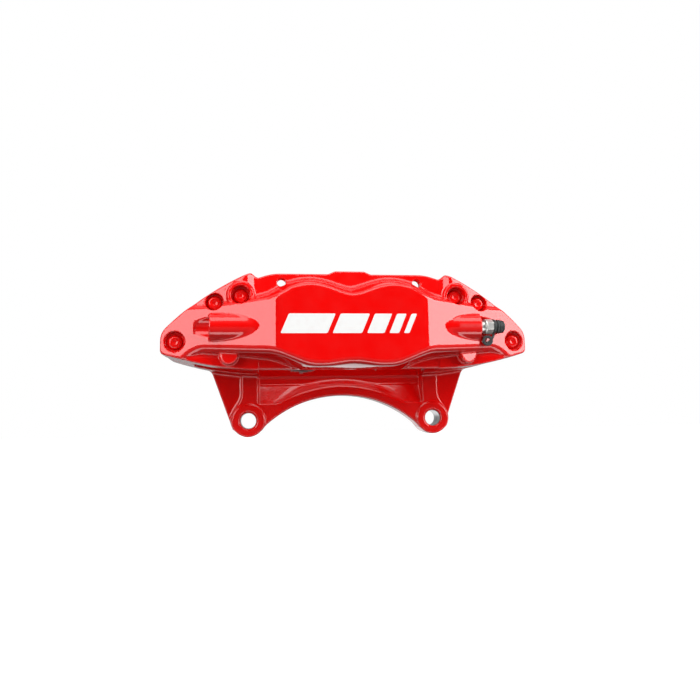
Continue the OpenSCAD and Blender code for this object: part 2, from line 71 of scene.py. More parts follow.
# ---------------------------------------------------------------- shape arithmetic

def join(a: np.ndarray, b: np.ndarray, k: float) -> np.ndarray:
    """Union of two distance fields, with a fillet about k wide where they meet.

    Args:
        a: first field, negative inside.
        b: second field, negative inside.
        k: width of the blend.

    Returns:
        The lesser of the two, less a quarter of k times the squared share of their closeness.
    """
    near = np.maximum(k - np.abs(a - b), 0.0) / k
    return np.minimum(a, b) - near * near * k * 0.25


def meet(a: np.ndarray, b: np.ndarray, k: float) -> np.ndarray:
    """Intersection of two distance fields, with its edge rounded over about k."""
    return -join(-a, -b, k)


def cut(a: np.ndarray, b: np.ndarray, k: float) -> np.ndarray:
    """Field a with field b taken away, and the edge rounded over about k."""
    return meet(a, -b, k)


def slab(v: np.ndarray, low: float, high: float) -> np.ndarray:
    """Distance field of the space between two parallel planes."""
    return np.maximum(low - v, v - high)


def gradient(shape: Field, points: np.ndarray, reach: float) -> np.ndarray:
    """Central differences of a field at scattered points.

    Args:
        shape: the field.
        points: (n, 3) positions.
        reach: half the distance over which the difference is taken.

    Returns:
        (n, 3) gradients.
    """
    columns = []
    for axis in range(3):
        shift = np.zeros(3)
        shift[axis] = reach
        ahead = shape(*(points + shift).T)
        behind = shape(*(points - shift).T)
        columns.append((ahead - behind) / (2.0 * reach))
    return np.stack(columns, axis=1)


def level_surface(shape: Field, low: Sequence[float], high: Sequence[float],
                  step: float) -> tuple[np.ndarray, np.ndarray]:
    """Quads over the zero level of a field, for castings whose fillets no single patch can follow.

    The field is sampled on a grid. Each cell that the surface crosses gets one point, the mean of
    the crossings on its twelve edges, and each grid edge that the surface crosses gets one quad
    between the four cells round it. The points are then moved along the gradient by the field's
    value over the gradient's squared length, which puts them on the surface itself.

    Args:
        shape: the field, in millimetres.
        low: lowest corner of the sampled box.
        high: highest corner of the sampled box.
        step: grid spacing.

    Returns:
        (n, 3) points and (m, 4) quads whose normals point outwards.
    """
    axes = [np.arange(a - 1.5 * step, b + 2.5 * step, step) for a, b in zip(low, high)]
    value = np.asarray(shape(*np.ix_(*axes)), dtype=np.float32)
    inside = value < 0.0
    size = [n - 1 for n in value.shape]
    corners = [(a, b, c) for a in (0, 1) for b in (0, 1) for c in (0, 1)]

    count = np.zeros(size, dtype=np.int8)
    for a, b, c in corners:
        count += inside[a:a + size[0], b:b + size[1], c:c + size[2]]
    active = (count > 0) & (count < 8)
    number = np.full(size, -1, dtype=np.int64)
    number[active] = np.arange(int(active.sum()))
    cell = np.stack(np.nonzero(active), axis=1)

    total = np.zeros(cell.shape)
    crossings = np.zeros(len(cell))
    for start in corners:
        for axis in range(3):
            if start[axis]:
                continue
            end = list(start)
            end[axis] = 1
            at_start = value[tuple((cell + start).T)]
            at_end = value[tuple((cell + end).T)]
            crossed = (at_start < 0.0) != (at_end < 0.0)
            gap = np.where(crossed, at_start - at_end, 1.0)
            share = np.where(crossed, at_start / gap, 0.0)
            place = np.array(start, dtype=float) + share[:, None] * (np.array(end) - np.array(start))
            total += place * crossed[:, None]
            crossings += crossed
    origin = np.array([axis[0] for axis in axes])
    points = origin + step * (cell + total / crossings[:, None])

    quads = []
    for axis in range(3):
        first, second = (axis + 1) % 3, (axis + 2) % 3
        window = [slice(1, -1)] * 3
        window[axis] = slice(0, -1)
        lower = inside[tuple(window)]
        window[axis] = slice(1, None)
        upper = inside[tuple(window)]
        edge = np.stack(np.nonzero(lower != upper), axis=1)
        leaving = lower[tuple(edge.T)]
        edge[:, first] += 1
        edge[:, second] += 1
        ring = []
        for back_first, back_second in ((1, 1), (0, 1), (0, 0), (1, 0)):
            neighbour = edge.copy()
            neighbour[:, first] -= back_first
            neighbour[:, second] -= back_second
            ring.append(number[tuple(neighbour.T)])
        quad = np.stack(ring, axis=1)
        quad[~leaving] = quad[~leaving][:, ::-1]
        quads.append(quad)

    passes, reach, most_move = 3, 0.05, 0.6 * step
    for _ in range(passes):
        slope = gradient(shape, points, reach)
        steep = np.maximum((slope * slope).sum(axis=1), 0.1)
        move = np.clip(shape(*points.T) / steep, -most_move, most_move)
        points = points - slope * move[:, None]
    return points, np.concatenate(quads)


# ---------------------------------------------------------------- mesh making

def new_piece(name: str, points: np.ndarray, faces: np.ndarray) -> bpy.types.Object:
    """Makes a smooth-shaded object at the origin from points in millimetres.

    Args:
        name: the piece's name.
        points: (n, 3) positions in millimetres.
        faces: (m, 4) vertex numbers of each face.

    Returns:
        The linked object.
    """
    mesh = bpy.data.meshes.new(name)
    corners = np.asarray(faces, dtype=np.int32)
    mesh.vertices.add(len(points))
    mesh.vertices.foreach_set("co", (np.asarray(points) * MM).astype(np.float32).ravel())
    mesh.loops.add(corners.size)
    mesh.loops.foreach_set("vertex_index", corners.ravel())
    mesh.polygons.add(len(corners))
    mesh.polygons.foreach_set("loop_start", np.arange(0, corners.size, corners.shape[1], dtype=np.int32))
    mesh.update(calc_edges=True)
    mesh.validate()
    mesh.polygons.foreach_set("use_smooth", np.full(len(mesh.polygons), True))
    piece = bpy.data.objects.new(name, mesh)
    bpy.context.scene.collection.objects.link(piece)
    LOG.info("%s: %d points", name, len(points))
    return piece


def mesh_points(piece: bpy.types.Object) -> np.ndarray:
    """Reads a piece's vertices.

    Args:
        piece: the piece.

    Returns:
        (n, 3) positions in millimetres.
    """
    flat = np.empty(len(piece.data.vertices) * 3, dtype=np.float32)
    piece.data.vertices.foreach_get("co", flat)
    return flat.reshape(-1, 3).astype(float) / MM


def thin_out(piece: bpy.types.Object, most: int) -> None:
    """Collapses edges of a piece that has too many triangles.

    Args:
        piece: the piece.
        most: number of triangles that it may keep.
    """
    triangles = sum(len(p.vertices) - 2 for p in piece.data.polygons)
    if triangles <= most:
        return
    tool = piece.modifiers.new("thin", "DECIMATE")
    tool.ratio = most / triangles
    graph = bpy.context.evaluated_depsgraph_get()
    lean = bpy.data.meshes.new_from_object(piece.evaluated_get(graph))
    piece.modifiers.clear()
    old = piece.data
    piece.data = lean
    bpy.data.meshes.remove(old)


def add_values(piece: bpy.types.Object, name: str, values: np.ndarray) -> None:
    """Stores one number a vertex, for a material to read."""
    layer = piece.data.attributes.new(name, "FLOAT", "POINT")
    layer.data.foreach_set("value", values.astype(np.float32))


def weld(piece: bpy.types.Object) -> None:
    """Merges doubled points, closes poles and turns the normals outwards.

    Args:
        piece: the piece.
    """
    form = bmesh.new()
    form.from_mesh(piece.data)
    bmesh.ops.remove_doubles(form, verts=form.verts, dist=2e-6)
    bmesh.ops.dissolve_degenerate(form, edges=form.edges, dist=1e-6)
    bmesh.ops.recalc_face_normals(form, faces=form.faces)
    form.to_mesh(piece.data)
    form.free()


def crisp(piece: bpy.types.Object, angle: float = 32.0) -> None:
    """Shades flats flat and rounds round, by letting the larger faces rule the normals.

    Args:
        piece: the piece.
        angle: edges that turn by more degrees than this are sharp.
    """
    piece.data.set_sharp_from_angle(angle=np.radians(angle))
    tool = piece.modifiers.new("face_weight", "WEIGHTED_NORMAL")
    tool.keep_sharp = True


def rounded(corners: Sequence[tuple[float, float]], radius: float, steps: int = 4) -> np.ndarray:
    """Rounds the inner corners of an open profile.

    Each corner becomes a curve from a point on one leg to a point on the next, weighted as
    (1-t)^2 start + 2t(1-t) corner + t^2 end, and no curve takes over 0.45 of a leg.

    Args:
        corners: the profile's points.
        radius: distance from a corner at which its curve starts.
        steps: segments in each curve.

    Returns:
        (n, 2) profile.
    """
    points = np.asarray(corners, dtype=float)
    kept = [points[0][None]]
    share = np.linspace(0.0, 1.0, steps + 1)[:, None]
    for before, corner, after in zip(points[:-2], points[1:-1], points[2:]):
        back, ahead = before - corner, after - corner
        back_len, ahead_len = np.linalg.norm(back), np.linalg.norm(ahead)
        reach = min(radius, 0.45 * back_len, 0.45 * ahead_len)
        start, end = corner + back / back_len * reach, corner + ahead / ahead_len * reach
        kept.append((1 - share) ** 2 * start + 2 * share * (1 - share) * corner + share ** 2 * end)
    kept.append(points[-1][None])
    return np.concatenate(kept)


class Along(Enum):
    """Axis that a turned piece is turned about."""

    X = 0
    Y = 1


def turned(profile: np.ndarray, centre: Sequence[float], along: Along, facing: int = 1,
           sides: int = 72) -> tuple[np.ndarray, np.ndarray]:
    """Carries a profile round an axis: point (s, t) lies at height h(s) and at radius r(s), which a
    hexagon's share swells towards six corners, up to a limit that chamfers them.

    Args:
        profile: (n, 2) radii and heights, or (n, 4) with the hexagon's share and the limit as well.
        centre: point on the axis where the height is zero.
        along: the axis.
        facing: 1 or -1, the way in which the height grows.
        sides: steps round the axis, a multiple of 12.

    Returns:
        Points and quads, closed round the axis.
    """
    angle = np.linspace(0.0, 2 * np.pi, sides, endpoint=False)
    radius = np.broadcast_to(profile[:, :1], (len(profile), sides))
    if profile.shape[1] == 4:
        swell = 1.0 / np.cos((angle + np.pi / 6) % (np.pi / 3) - np.pi / 6) - 1.0
        radius = np.minimum(radius * (1.0 + profile[:, 2:3] * swell), profile[:, 3:])
    height = np.broadcast_to(profile[:, 1:2] * facing, radius.shape)
    across, up = radius * np.cos(angle), radius * np.sin(angle)
    order = (height, across, up) if along is Along.X else (across, height, up)
    points = np.stack(order, axis=2).reshape(-1, 3) + np.asarray(centre, dtype=float)
    return points, grid_quads(len(profile), sides, wrap=True)


def grid_quads(rows: int, columns: int, wrap: bool) -> np.ndarray:
    """Quads between neighbouring points of a grid: point (i, j) has number i * columns + j.

    Args:
        rows: rows of points.
        columns: points in a row.
        wrap: whether the last point of a row is joined to its first.

    Returns:
        (n, 4) vertex numbers.
    """
    row = np.arange(rows - 1)[:, None]
    column = np.arange(columns if wrap else columns - 1)[None, :]
    after = (column + 1) % columns
    quad = np.stack([row * columns + column, row * columns + after,
                     (row + 1) * columns + after, (row + 1) * columns + column], axis=2)
    return quad.reshape(-1, 4)


def carried(section: np.ndarray, path: np.ndarray, across: Sequence[float]
            ) -> tuple[np.ndarray, np.ndarray]:
    """Carries a closed section along a path: point (s, t) is path(s), plus the section's first
    number along the path's side and its second along a fixed direction.

    Args:
        section: (n, 2) closed outline, not repeating its first point.
        path: (m, 3) points that keep square to the fixed direction.
        across: the fixed direction, of length one.

    Returns:
        Points and quads, with each end drawn in to a point.
    """
    ahead = np.gradient(path, axis=0)
    side = np.cross(ahead, across)
    side /= np.linalg.norm(side, axis=1, keepdims=True)
    ends_twice = np.r_[0, 0:len(path), len(path) - 1]
    path, side = path[ends_twice], side[ends_twice]
    size = np.r_[0.0, np.ones(len(path) - 2), 0.0]
    rows = (path[:, None] + size[:, None, None] * (section[None, :, :1] * side[:, None]
            + section[None, :, 1:] * np.asarray(across, dtype=float)))
    return rows.reshape(-1, 3), grid_quads(len(path), len(section), wrap=True)


def stitch(*parts: tuple[np.ndarray, np.ndarray]) -> tuple[np.ndarray, np.ndarray]:
    """Puts several shapes into one.

    Args:
        parts: points and quads of each.

    Returns:
        The points and quads of all of them.
    """
    points, quads, start = [], [], 0
    for part_points, part_quads in parts:
        points.append(part_points)
        quads.append(part_quads + start)
        start += len(part_points)
    return np.concatenate(points), np.concatenate(quads)


# ---------------------------------------------------------------- shader building

class Nodes:
    """Short hand for building one node tree."""

    def __init__(self, tree: bpy.types.NodeTree) -> None:
        """Keeps the tree and empties it."""
        self.tree = tree
        tree.nodes.clear()

    def add(self, kind: str, **settings: object) -> bpy.types.Node:
        """Adds a node.

        Args:
            kind: Blender's name for the kind of node.
            settings: its properties.

        Returns:
            The node.
        """
        node = self.tree.nodes.new(kind)
        for name, value in settings.items():
            setattr(node, name, value)
        return node

    def put(self, node: bpy.types.Node, socket: str | int, value: object) -> None:
        """Links an output socket to a node's input, or sets the input's own value.

        Args:
            node: the node.
            socket: its input, by name or number.
            value: the output socket or the value.
        """
        if isinstance(value, bpy.types.NodeSocket):
            self.tree.links.new(value, node.inputs[socket])
        else:
            node.inputs[socket].default_value = value

    def maths(self, how: str, *values: object, clamp: bool = False) -> bpy.types.NodeSocket:
        """Adds one arithmetic node.

        Args:
            how: the operation.
            values: its numbers or sockets, in order.
            clamp: whether the result is held between 0 and 1.

        Returns:
            The result.
        """
        node = self.add("ShaderNodeMath", operation=how, use_clamp=clamp)
        for index, value in enumerate(values):
            self.put(node, index, value)
        return node.outputs[0]

    def noise(self, where: object, scale: object, detail: float = 3.0,
              rough: float = 0.5) -> bpy.types.NodeSocket:
        """Adds a noise.

        Args:
            where: place at which it is read.
            scale: how many cells there are in a metre.
            detail: octaves of finer noise.
            rough: weight of each octave against the one before.

        Returns:
            Its value.
        """
        node = self.add("ShaderNodeTexNoise")
        self.put(node, "Vector", where)
        self.put(node, "Scale", scale)
        self.put(node, "Detail", detail)
        self.put(node, "Roughness", rough)
        return node.outputs["Fac"]

    def spread(self, value: object, low: float, high: float, to_low: float = 0.0,
               to_high: float = 1.0) -> bpy.types.NodeSocket:
        """Maps a value evenly from one range to another, and holds it inside.

        Args:
            value: the value.
            low: value that gives to_low.
            high: value that gives to_high.
            to_low: result at low.
            to_high: result at high.

        Returns:
            The result.
        """
        node = self.add("ShaderNodeMapRange", clamp=True)
        for socket, number in zip((0, 1, 2, 3, 4), (value, low, high, to_low, to_high)):
            self.put(node, socket, number)
        return node.outputs[0]

    def blend(self, share: object, first: object, second: object) -> bpy.types.NodeSocket:
        """Mixes two colours.

        Args:
            share: share of the second.
            first: the first colour.
            second: the second colour.

        Returns:
            The mixed colour.
        """
        node = self.add("ShaderNodeMix", data_type="RGBA")
        self.put(node, 0, share)
        self.put(node, 6, first)
        self.put(node, 7, second)
        return node.outputs[2]

    def mix_value(self, share: object, first: object, second: object) -> bpy.types.NodeSocket:
        """Mixes two numbers.

        Args:
            share: share of the second.
            first: the first number.
            second: the second number.

        Returns:
            The mixed number.
        """
        node = self.add("ShaderNodeMix", data_type="FLOAT")
        self.put(node, 0, share)
        self.put(node, 2, first)
        self.put(node, 3, second)
        return node.outputs[0]

    def stored(self, name: str) -> bpy.types.NodeSocket:
        """A value stored on the piece's vertices."""
        return self.add("ShaderNodeAttribute", attribute_name=name).outputs["Fac"]

    def place(self) -> bpy.types.NodeSocket:
        """Object coordinates."""
        return self.add("ShaderNodeTexCoord").outputs["Object"]

    def bump(self, height: object) -> bpy.types.NodeSocket:
        """Adds a bump at full strength.

        Args:
            height: the relief, in metres.

        Returns:
            The bumped normal.
        """
        node = self.add("ShaderNodeBump")
        self.put(node, "Height", height)
        self.put(node, "Distance", 1.0)
        self.put(node, "Strength", 1.0)
        return node.outputs["Normal"]


def colour(red: float, green: float, blue: float) -> tuple[float, float, float, float]:
    """A colour with full alpha."""
    return (red, green, blue, 1.0)


def new_group(name: str, takes: dict[str, tuple[str, object]],
              gives: dict[str, str]) -> tuple[bpy.types.NodeTree, Nodes]:
    """Starts a shader node group.

    Args:
        name: the group's name.
        takes: input names, each with its socket type and starting value.
        gives: output names, each with its socket type.

    Returns:
        The group and the helper that fills it.
    """
    tree = bpy.data.node_groups.new(name, "ShaderNodeTree")
    kit = Nodes(tree)
    for label, (kind, start) in takes.items():
        socket = tree.interface.new_socket(label, in_out="INPUT", socket_type=kind)
        if start is not None:
            socket.default_value = start
    for label, kind in gives.items():
        tree.interface.new_socket(label, in_out="OUTPUT", socket_type=kind)
    return tree, kit


FLOAT, COLOUR, VECTOR = "NodeSocketFloat", "NodeSocketColor", "NodeSocketVector"


def fine_dust_group() -> bpy.types.NodeTree:
    """Dust: a mask from patchy noise, stronger in hollows.

    Returns:
        The group.
    """
    tree, kit = new_group("fine_dust", {"Place": (VECTOR, None), "Hollow": (FLOAT, 0.0),
                                        "Amount": (FLOAT, 0.2), "Scale": (FLOAT, 60.0)},
                          {"Mask": FLOAT})
    entry = kit.add("NodeGroupInput")
    patch = kit.noise(entry.outputs["Place"], entry.outputs["Scale"], 6.0)
    patchy = kit.spread(patch, 0.35, 0.75)
    hollow = kit.maths("MULTIPLY_ADD", entry.outputs["Hollow"], 0.8, 0.2)
    mask = kit.maths("MULTIPLY", kit.maths("MULTIPLY", patchy, hollow), entry.outputs["Amount"], clamp=True)
    leave = kit.add("NodeGroupOutput")
    kit.put(leave, "Mask", mask)
    return tree


def turning_group() -> bpy.types.NodeTree:
    """Tool marks: fine rings along Y, 0.5 + 0.5 sin(pitch y + wobble), and a roughness that
    follows the wobble.

    Returns:
        The group.
    """
    tree, kit = new_group("turning_marks", {"Place": (VECTOR, None), "Pitch": (FLOAT, 4000.0)},
                          {"Height": FLOAT, "Rough": FLOAT})
    entry = kit.add("NodeGroupInput")
    apart = kit.add("ShaderNodeSeparateXYZ")
    kit.put(apart, 0, entry.outputs["Place"])
    along = kit.maths("MULTIPLY", apart.outputs[1], entry.outputs["Pitch"])
    wobble = kit.noise(entry.outputs["Place"], 90.0, 4.0)
    phase = kit.maths("MULTIPLY_ADD", wobble, 9.0, along)
    ring = kit.maths("MULTIPLY_ADD", kit.maths("SINE", phase), 0.5, 0.5)
    leave = kit.add("NodeGroupOutput")
    kit.put(leave, "Height", ring)
    kit.put(leave, "Rough", kit.maths("MULTIPLY_ADD", wobble, 0.25, 0.2))
    return tree


@dataclass(frozen=True)
class Finishes:
    """Shader groups that several finishes share."""

    dust: bpy.types.NodeTree
    turning: bpy.types.NodeTree

    def dusty(self, kit: Nodes, amount: float, hollow: object = 0.0,
              scale: float = 60.0) -> bpy.types.NodeSocket:
        """Adds the dust group to a material.

        Args:
            kit: the material's nodes.
            amount: how much dust there is.
            hollow: how hollow the place is.
            scale: how many patches there are in a metre.

        Returns:
            Its mask.
        """
        node = kit.add("ShaderNodeGroup", node_tree=self.dust)
        kit.put(node, "Place", kit.place())
        kit.put(node, "Hollow", hollow)
        kit.put(node, "Amount", amount)
        kit.put(node, "Scale", scale)
        return node.outputs["Mask"]

    def tooled(self, kit: Nodes, pitch: float) -> bpy.types.Node:
        """Adds the tool mark group to a material.

        Args:
            kit: the material's nodes.
            pitch: turns of phase in a metre.

        Returns:
            The group's node.
        """
        node = kit.add("ShaderNodeGroup", node_tree=self.turning)
        kit.put(node, "Place", kit.place())
        kit.put(node, "Pitch", pitch)
        return node


def start_material(name: str) -> tuple[bpy.types.Material, Nodes, bpy.types.Node]:
    """Starts a material.

    Args:
        name: the material's name.

    Returns:
        The material, its nodes, and its Principled shader, which is joined to the output.
    """
    material = bpy.data.materials.new(name)
    material.use_nodes = True
    kit = Nodes(material.node_tree)
    shader = kit.add("ShaderNodeBsdfPrincipled")
    leave = kit.add("ShaderNodeOutputMaterial")
    kit.put(leave, "Surface", shader.outputs[0])
    return material, kit, shader


@dataclass(frozen=True)
class GlossPaint:
    """Red powder coat over cast aluminium, with bare machined metal where the casting was cut, and painted
    shade in its hollows.
    """

    red: tuple[float, float, float, float] = colour(0.86, 0.0015, 0.0012)
    # The deep red serves both the random tone of the paint and the painted shade in hollows.
    deep_red_and_shade: tuple[float, float, float, float] = colour(0.52, 0.0008, 0.0008)
    metal: tuple[float, float, float, float] = colour(0.55, 0.55, 0.56)
    grime: tuple[float, float, float, float] = colour(0.07, 0.06, 0.055)
    dust: tuple[float, float, float, float] = colour(0.45, 0.36, 0.33)
    grit_scale: float = 900.0
    grit_height: float = 0.00016
    cast_scale: float = 75.0
    cast_height: float = 0.00010
    peel_scale: float = 420.0
    peel_height: float = 0.000016
    mark_height: float = 0.000006
    coat_rough: float = 0.045
    coat_ior: float = 1.6

    def build(self, name: str, shared: Finishes) -> bpy.types.Material:
        """Builds the finish.

        Args:
            name: the material's name.
            shared: shader groups.

        Returns:
            The material. It reads the vertex values machined, hollow and edge; hollow darkens the red as
            painted shade and also adds dust.
        """
        material, kit, shader = start_material(name)
        place = kit.place()
        machined, hollow, edge = kit.stored("machined"), kit.stored("hollow"), kit.stored("edge")
        depth = kit.noise(place, 28.0, 3.0)
        body = kit.blend(kit.spread(depth, 0.3, 0.75, 0.0, 0.10), self.red, self.deep_red_and_shade)
        # Painted shade: the red goes darker towards the deep red in hollows and recesses.
        body = kit.blend(kit.maths("MULTIPLY", hollow, 0.35), body, self.deep_red_and_shade)
        dust = shared.dusty(kit, 0.05, hollow, 110.0)
        body = kit.blend(dust, body, self.dust)
        tool = shared.tooled(kit, 5200.0)
        bare = kit.blend(kit.spread(kit.noise(place, 150.0, 5.0), 0.35, 0.7, 0.0, 0.45),
                         self.metal, self.grime)
        kit.put(shader, "Base Color", kit.blend(machined, body, bare))
        kit.put(shader, "Metallic", machined)
        gloss = kit.spread(kit.noise(place, 34.0, 5.0, 0.6), 0.3, 0.8, 0.30, 0.40)
        gloss = kit.maths("ADD", gloss, kit.maths("MULTIPLY", dust, 1.2))
        gloss = kit.maths("MULTIPLY_ADD", edge, -0.05, gloss)
        kit.put(shader, "Roughness", kit.mix_value(machined, gloss, tool.outputs["Rough"]))
        kit.put(shader, "Coat Weight", kit.mix_value(machined, 1.0, 0.0))
        kit.put(shader, "Coat Roughness", self.coat_rough)
        kit.put(shader, "Coat IOR", self.coat_ior)
        kit.put(shader, "Specular IOR Level", 0.0)
        grit = kit.maths("MULTIPLY", kit.noise(place, self.grit_scale, 4.0, 0.6), kit.stored("as_cast"))
        soft = kit.maths("MULTIPLY", kit.noise(place, self.cast_scale, 4.0, 0.55), self.cast_height)
        cast = kit.maths("MULTIPLY_ADD", grit, self.grit_height, soft)
        peel = kit.maths("MULTIPLY_ADD", kit.noise(place, self.peel_scale, 2.0, 0.4), self.peel_height, cast)
        marks = kit.maths("MULTIPLY", tool.outputs["Height"], self.mark_height)
        height = kit.mix_value(machined, peel, marks)
        normal = kit.bump(height)
        kit.put(shader, "Normal", normal)
        kit.put(shader, "Coat Normal", normal)
        return material


@dataclass(frozen=True)
class TurnedMetal:
    """A machined metal: plated, anodised or bare, told apart by its tint and how dull it is."""

    tint: tuple[float, float, float, float]
    shade: tuple[float, float, float, float]
    dull: float
    pitch: float = 4200.0
    mark_height: float = 0.000006

    def build(self, name: str, shared: Finishes) -> bpy.types.Material:
        """Builds the finish.

        Args:
            name: the material's name.
            shared: shader groups.

        Returns:
            The material.
        """
        material, kit, shader = start_material(name)
        place = kit.place()
        tool = shared.tooled(kit, self.pitch)
        blotch = kit.spread(kit.noise(place, 260.0, 5.0, 0.6), 0.35, 0.7)
        dust = shared.dusty(kit, 0.35, 0.6, 240.0)
        metal = kit.blend(kit.maths("MULTIPLY", blotch, 0.6), self.tint, self.shade)
        kit.put(shader, "Base Color", kit.blend(dust, metal, colour(0.13, 0.115, 0.1)))
        kit.put(shader, "Metallic", kit.maths("MULTIPLY_ADD", dust, -0.6, 1.0))
        rough = kit.maths("MULTIPLY_ADD", blotch, 0.12, self.dull)
        kit.put(shader, "Roughness", kit.maths("MULTIPLY_ADD", dust, 0.4, rough))
        fine = kit.maths("MULTIPLY", tool.outputs["Height"], self.mark_height)
        grain = kit.maths("MULTIPLY_ADD", kit.noise(place, 1400.0, 2.0), 0.000012, fine)
        kit.put(shader, "Normal", kit.bump(grain))
        return material


@dataclass(frozen=True)
class MouldedRubber:
    """Black rubber with a faint moulded grain, and a grey bloom in patches."""

    black: tuple[float, float, float, float] = colour(0.022, 0.024, 0.026)
    bloom: tuple[float, float, float, float] = colour(0.10, 0.11, 0.11)

    def build(self, name: str, shared: Finishes) -> bpy.types.Material:
        """Builds the finish.

        Args:
            name: the material's name.
            shared: shader groups.

        Returns:
            The material.
        """
        material, kit, shader = start_material(name)
        place = kit.place()
        dust = shared.dusty(kit, 0.7, 0.5, 180.0)
        kit.put(shader, "Base Color", kit.blend(dust, self.black, self.bloom))
        kit.put(shader, "Roughness", kit.spread(kit.noise(place, 220.0, 4.0), 0.3, 0.8, 0.40, 0.62))
        grain = kit.maths("MULTIPLY", kit.noise(place, 1900.0, 3.0), 0.00003)
        kit.put(shader, "Normal", kit.bump(grain))
        kit.put(shader, "Specular IOR Level", 0.45)
        return material


@dataclass(frozen=True)
class PrintedWhite:
    """White screen print under the same clear coat as the paint."""

    white: tuple[float, float, float, float] = colour(0.88, 0.88, 0.87)
    worn: tuple[float, float, float, float] = colour(0.80, 0.74, 0.73)

    def build(self, name: str, shared: Finishes) -> bpy.types.Material:
        """Builds the finish.

        Args:
            name: the material's name.
            shared: shader groups.

        Returns:
            The material.
        """
        material, kit, shader = start_material(name)
        place = kit.place()
        thin = kit.spread(kit.noise(place, 300.0, 4.0), 0.45, 0.8, 0.0, 0.35)
        kit.put(shader, "Base Color", kit.blend(thin, self.white, self.worn))
        kit.put(shader, "Roughness", kit.spread(kit.noise(place, 500.0, 2.0), 0.3, 0.8, 0.28, 0.42))
        kit.put(shader, "Coat Weight", 0.8)
        kit.put(shader, "Coat Roughness", 0.06)
        peel = kit.maths("MULTIPLY", kit.noise(place, 420.0, 2.0), 0.000016)
        kit.put(shader, "Normal", kit.bump(peel))
        return material


# ---------------------------------------------------------------- castings

@dataclass(frozen=True)
class LowerEdge:
    """Lower edge of the raised face, as a height over the distance from the middle."""

    level: float = 47.8
    drop: float = 10.2
    rise_from: float = 25.5
    rise_len: float = 36.0
    hump: float = 2.2
    hump_len: float = 22.0
    climb_from: float = 57.0
    climb_to: float = 106.0
    climb: float = 0.055
    dive_len: float = 36.0

    def height(self, ax: np.ndarray) -> np.ndarray:
        """Height of the edge: it rises from each cylinder by a smooth step (3t^2 - 2t^3), has a low
        hump between the two, climbs evenly, and dives with the square of x towards the tip.

        Args:
            ax: distance from the middle.

        Returns:
            The height there.
        """
        step = np.clip((ax - self.rise_from) / self.rise_len, 0.0, 1.0)
        hump = np.clip(ax / self.hump_len, 0.0, 1.0)
        under = (-self.drop + self.drop * step ** 2 * (3.0 - 2.0 * step)
                 + self.hump * (1.0 - hump ** 2 * (3.0 - 2.0 * hump)))
        tip = (self.climb * (np.clip(ax, self.climb_from, self.climb_to) - self.climb_from)
               - np.maximum(ax - self.climb_to, 0.0) ** 2 / self.dive_len)
        return self.level + tip + under


@dataclass(frozen=True)
class RaisedFace:
    """Outline of the raised face, and how far its sides lean and how round its edge is, each below
    and above the height at which they change."""

    lobe_x: float = 30.0
    lobe_z: float = 66.4
    lobe_r: float = 29.9
    bar_x: float = 40.0
    bar_z: float = 89.0
    band_x: float = 45.0
    band_z: float = 86.2
    band_fall: float = 0.1
    band_fall_from: float = 60.0
    band_least_z: float = 81.5
    change_z: tuple[float, float] = (58.0, 72.0)
    lean: tuple[float, float] = (0.16, 0.37)
    rounding: tuple[float, float] = (4.6, 2.2)
    edge: LowerEdge = LowerEdge()

    def outline(self, ax: np.ndarray, z: np.ndarray) -> np.ndarray:
        """Outline: a round lobe over each cylinder, a bar between them, the band that carries on
        to the tip, and one lower edge under all three.

        Args:
            ax: distance from the middle.
            z: height.

        Returns:
            The outline's field.
        """
        lobe = np.hypot(ax - self.lobe_x, np.maximum(z - self.lobe_z, 0.0)) - self.lobe_r
        bar = meet(ax - self.bar_x, z - self.bar_z, 2.0)
        high = np.maximum(self.band_z - self.band_fall * (ax - self.band_fall_from), self.band_least_z)
        band = meet(z - high, self.band_x - ax, 1.0)
        return meet(join(join(lobe, bar, 9.0), band, 8.0), 0.94 * (self.edge.height(ax) - z), 1.0)


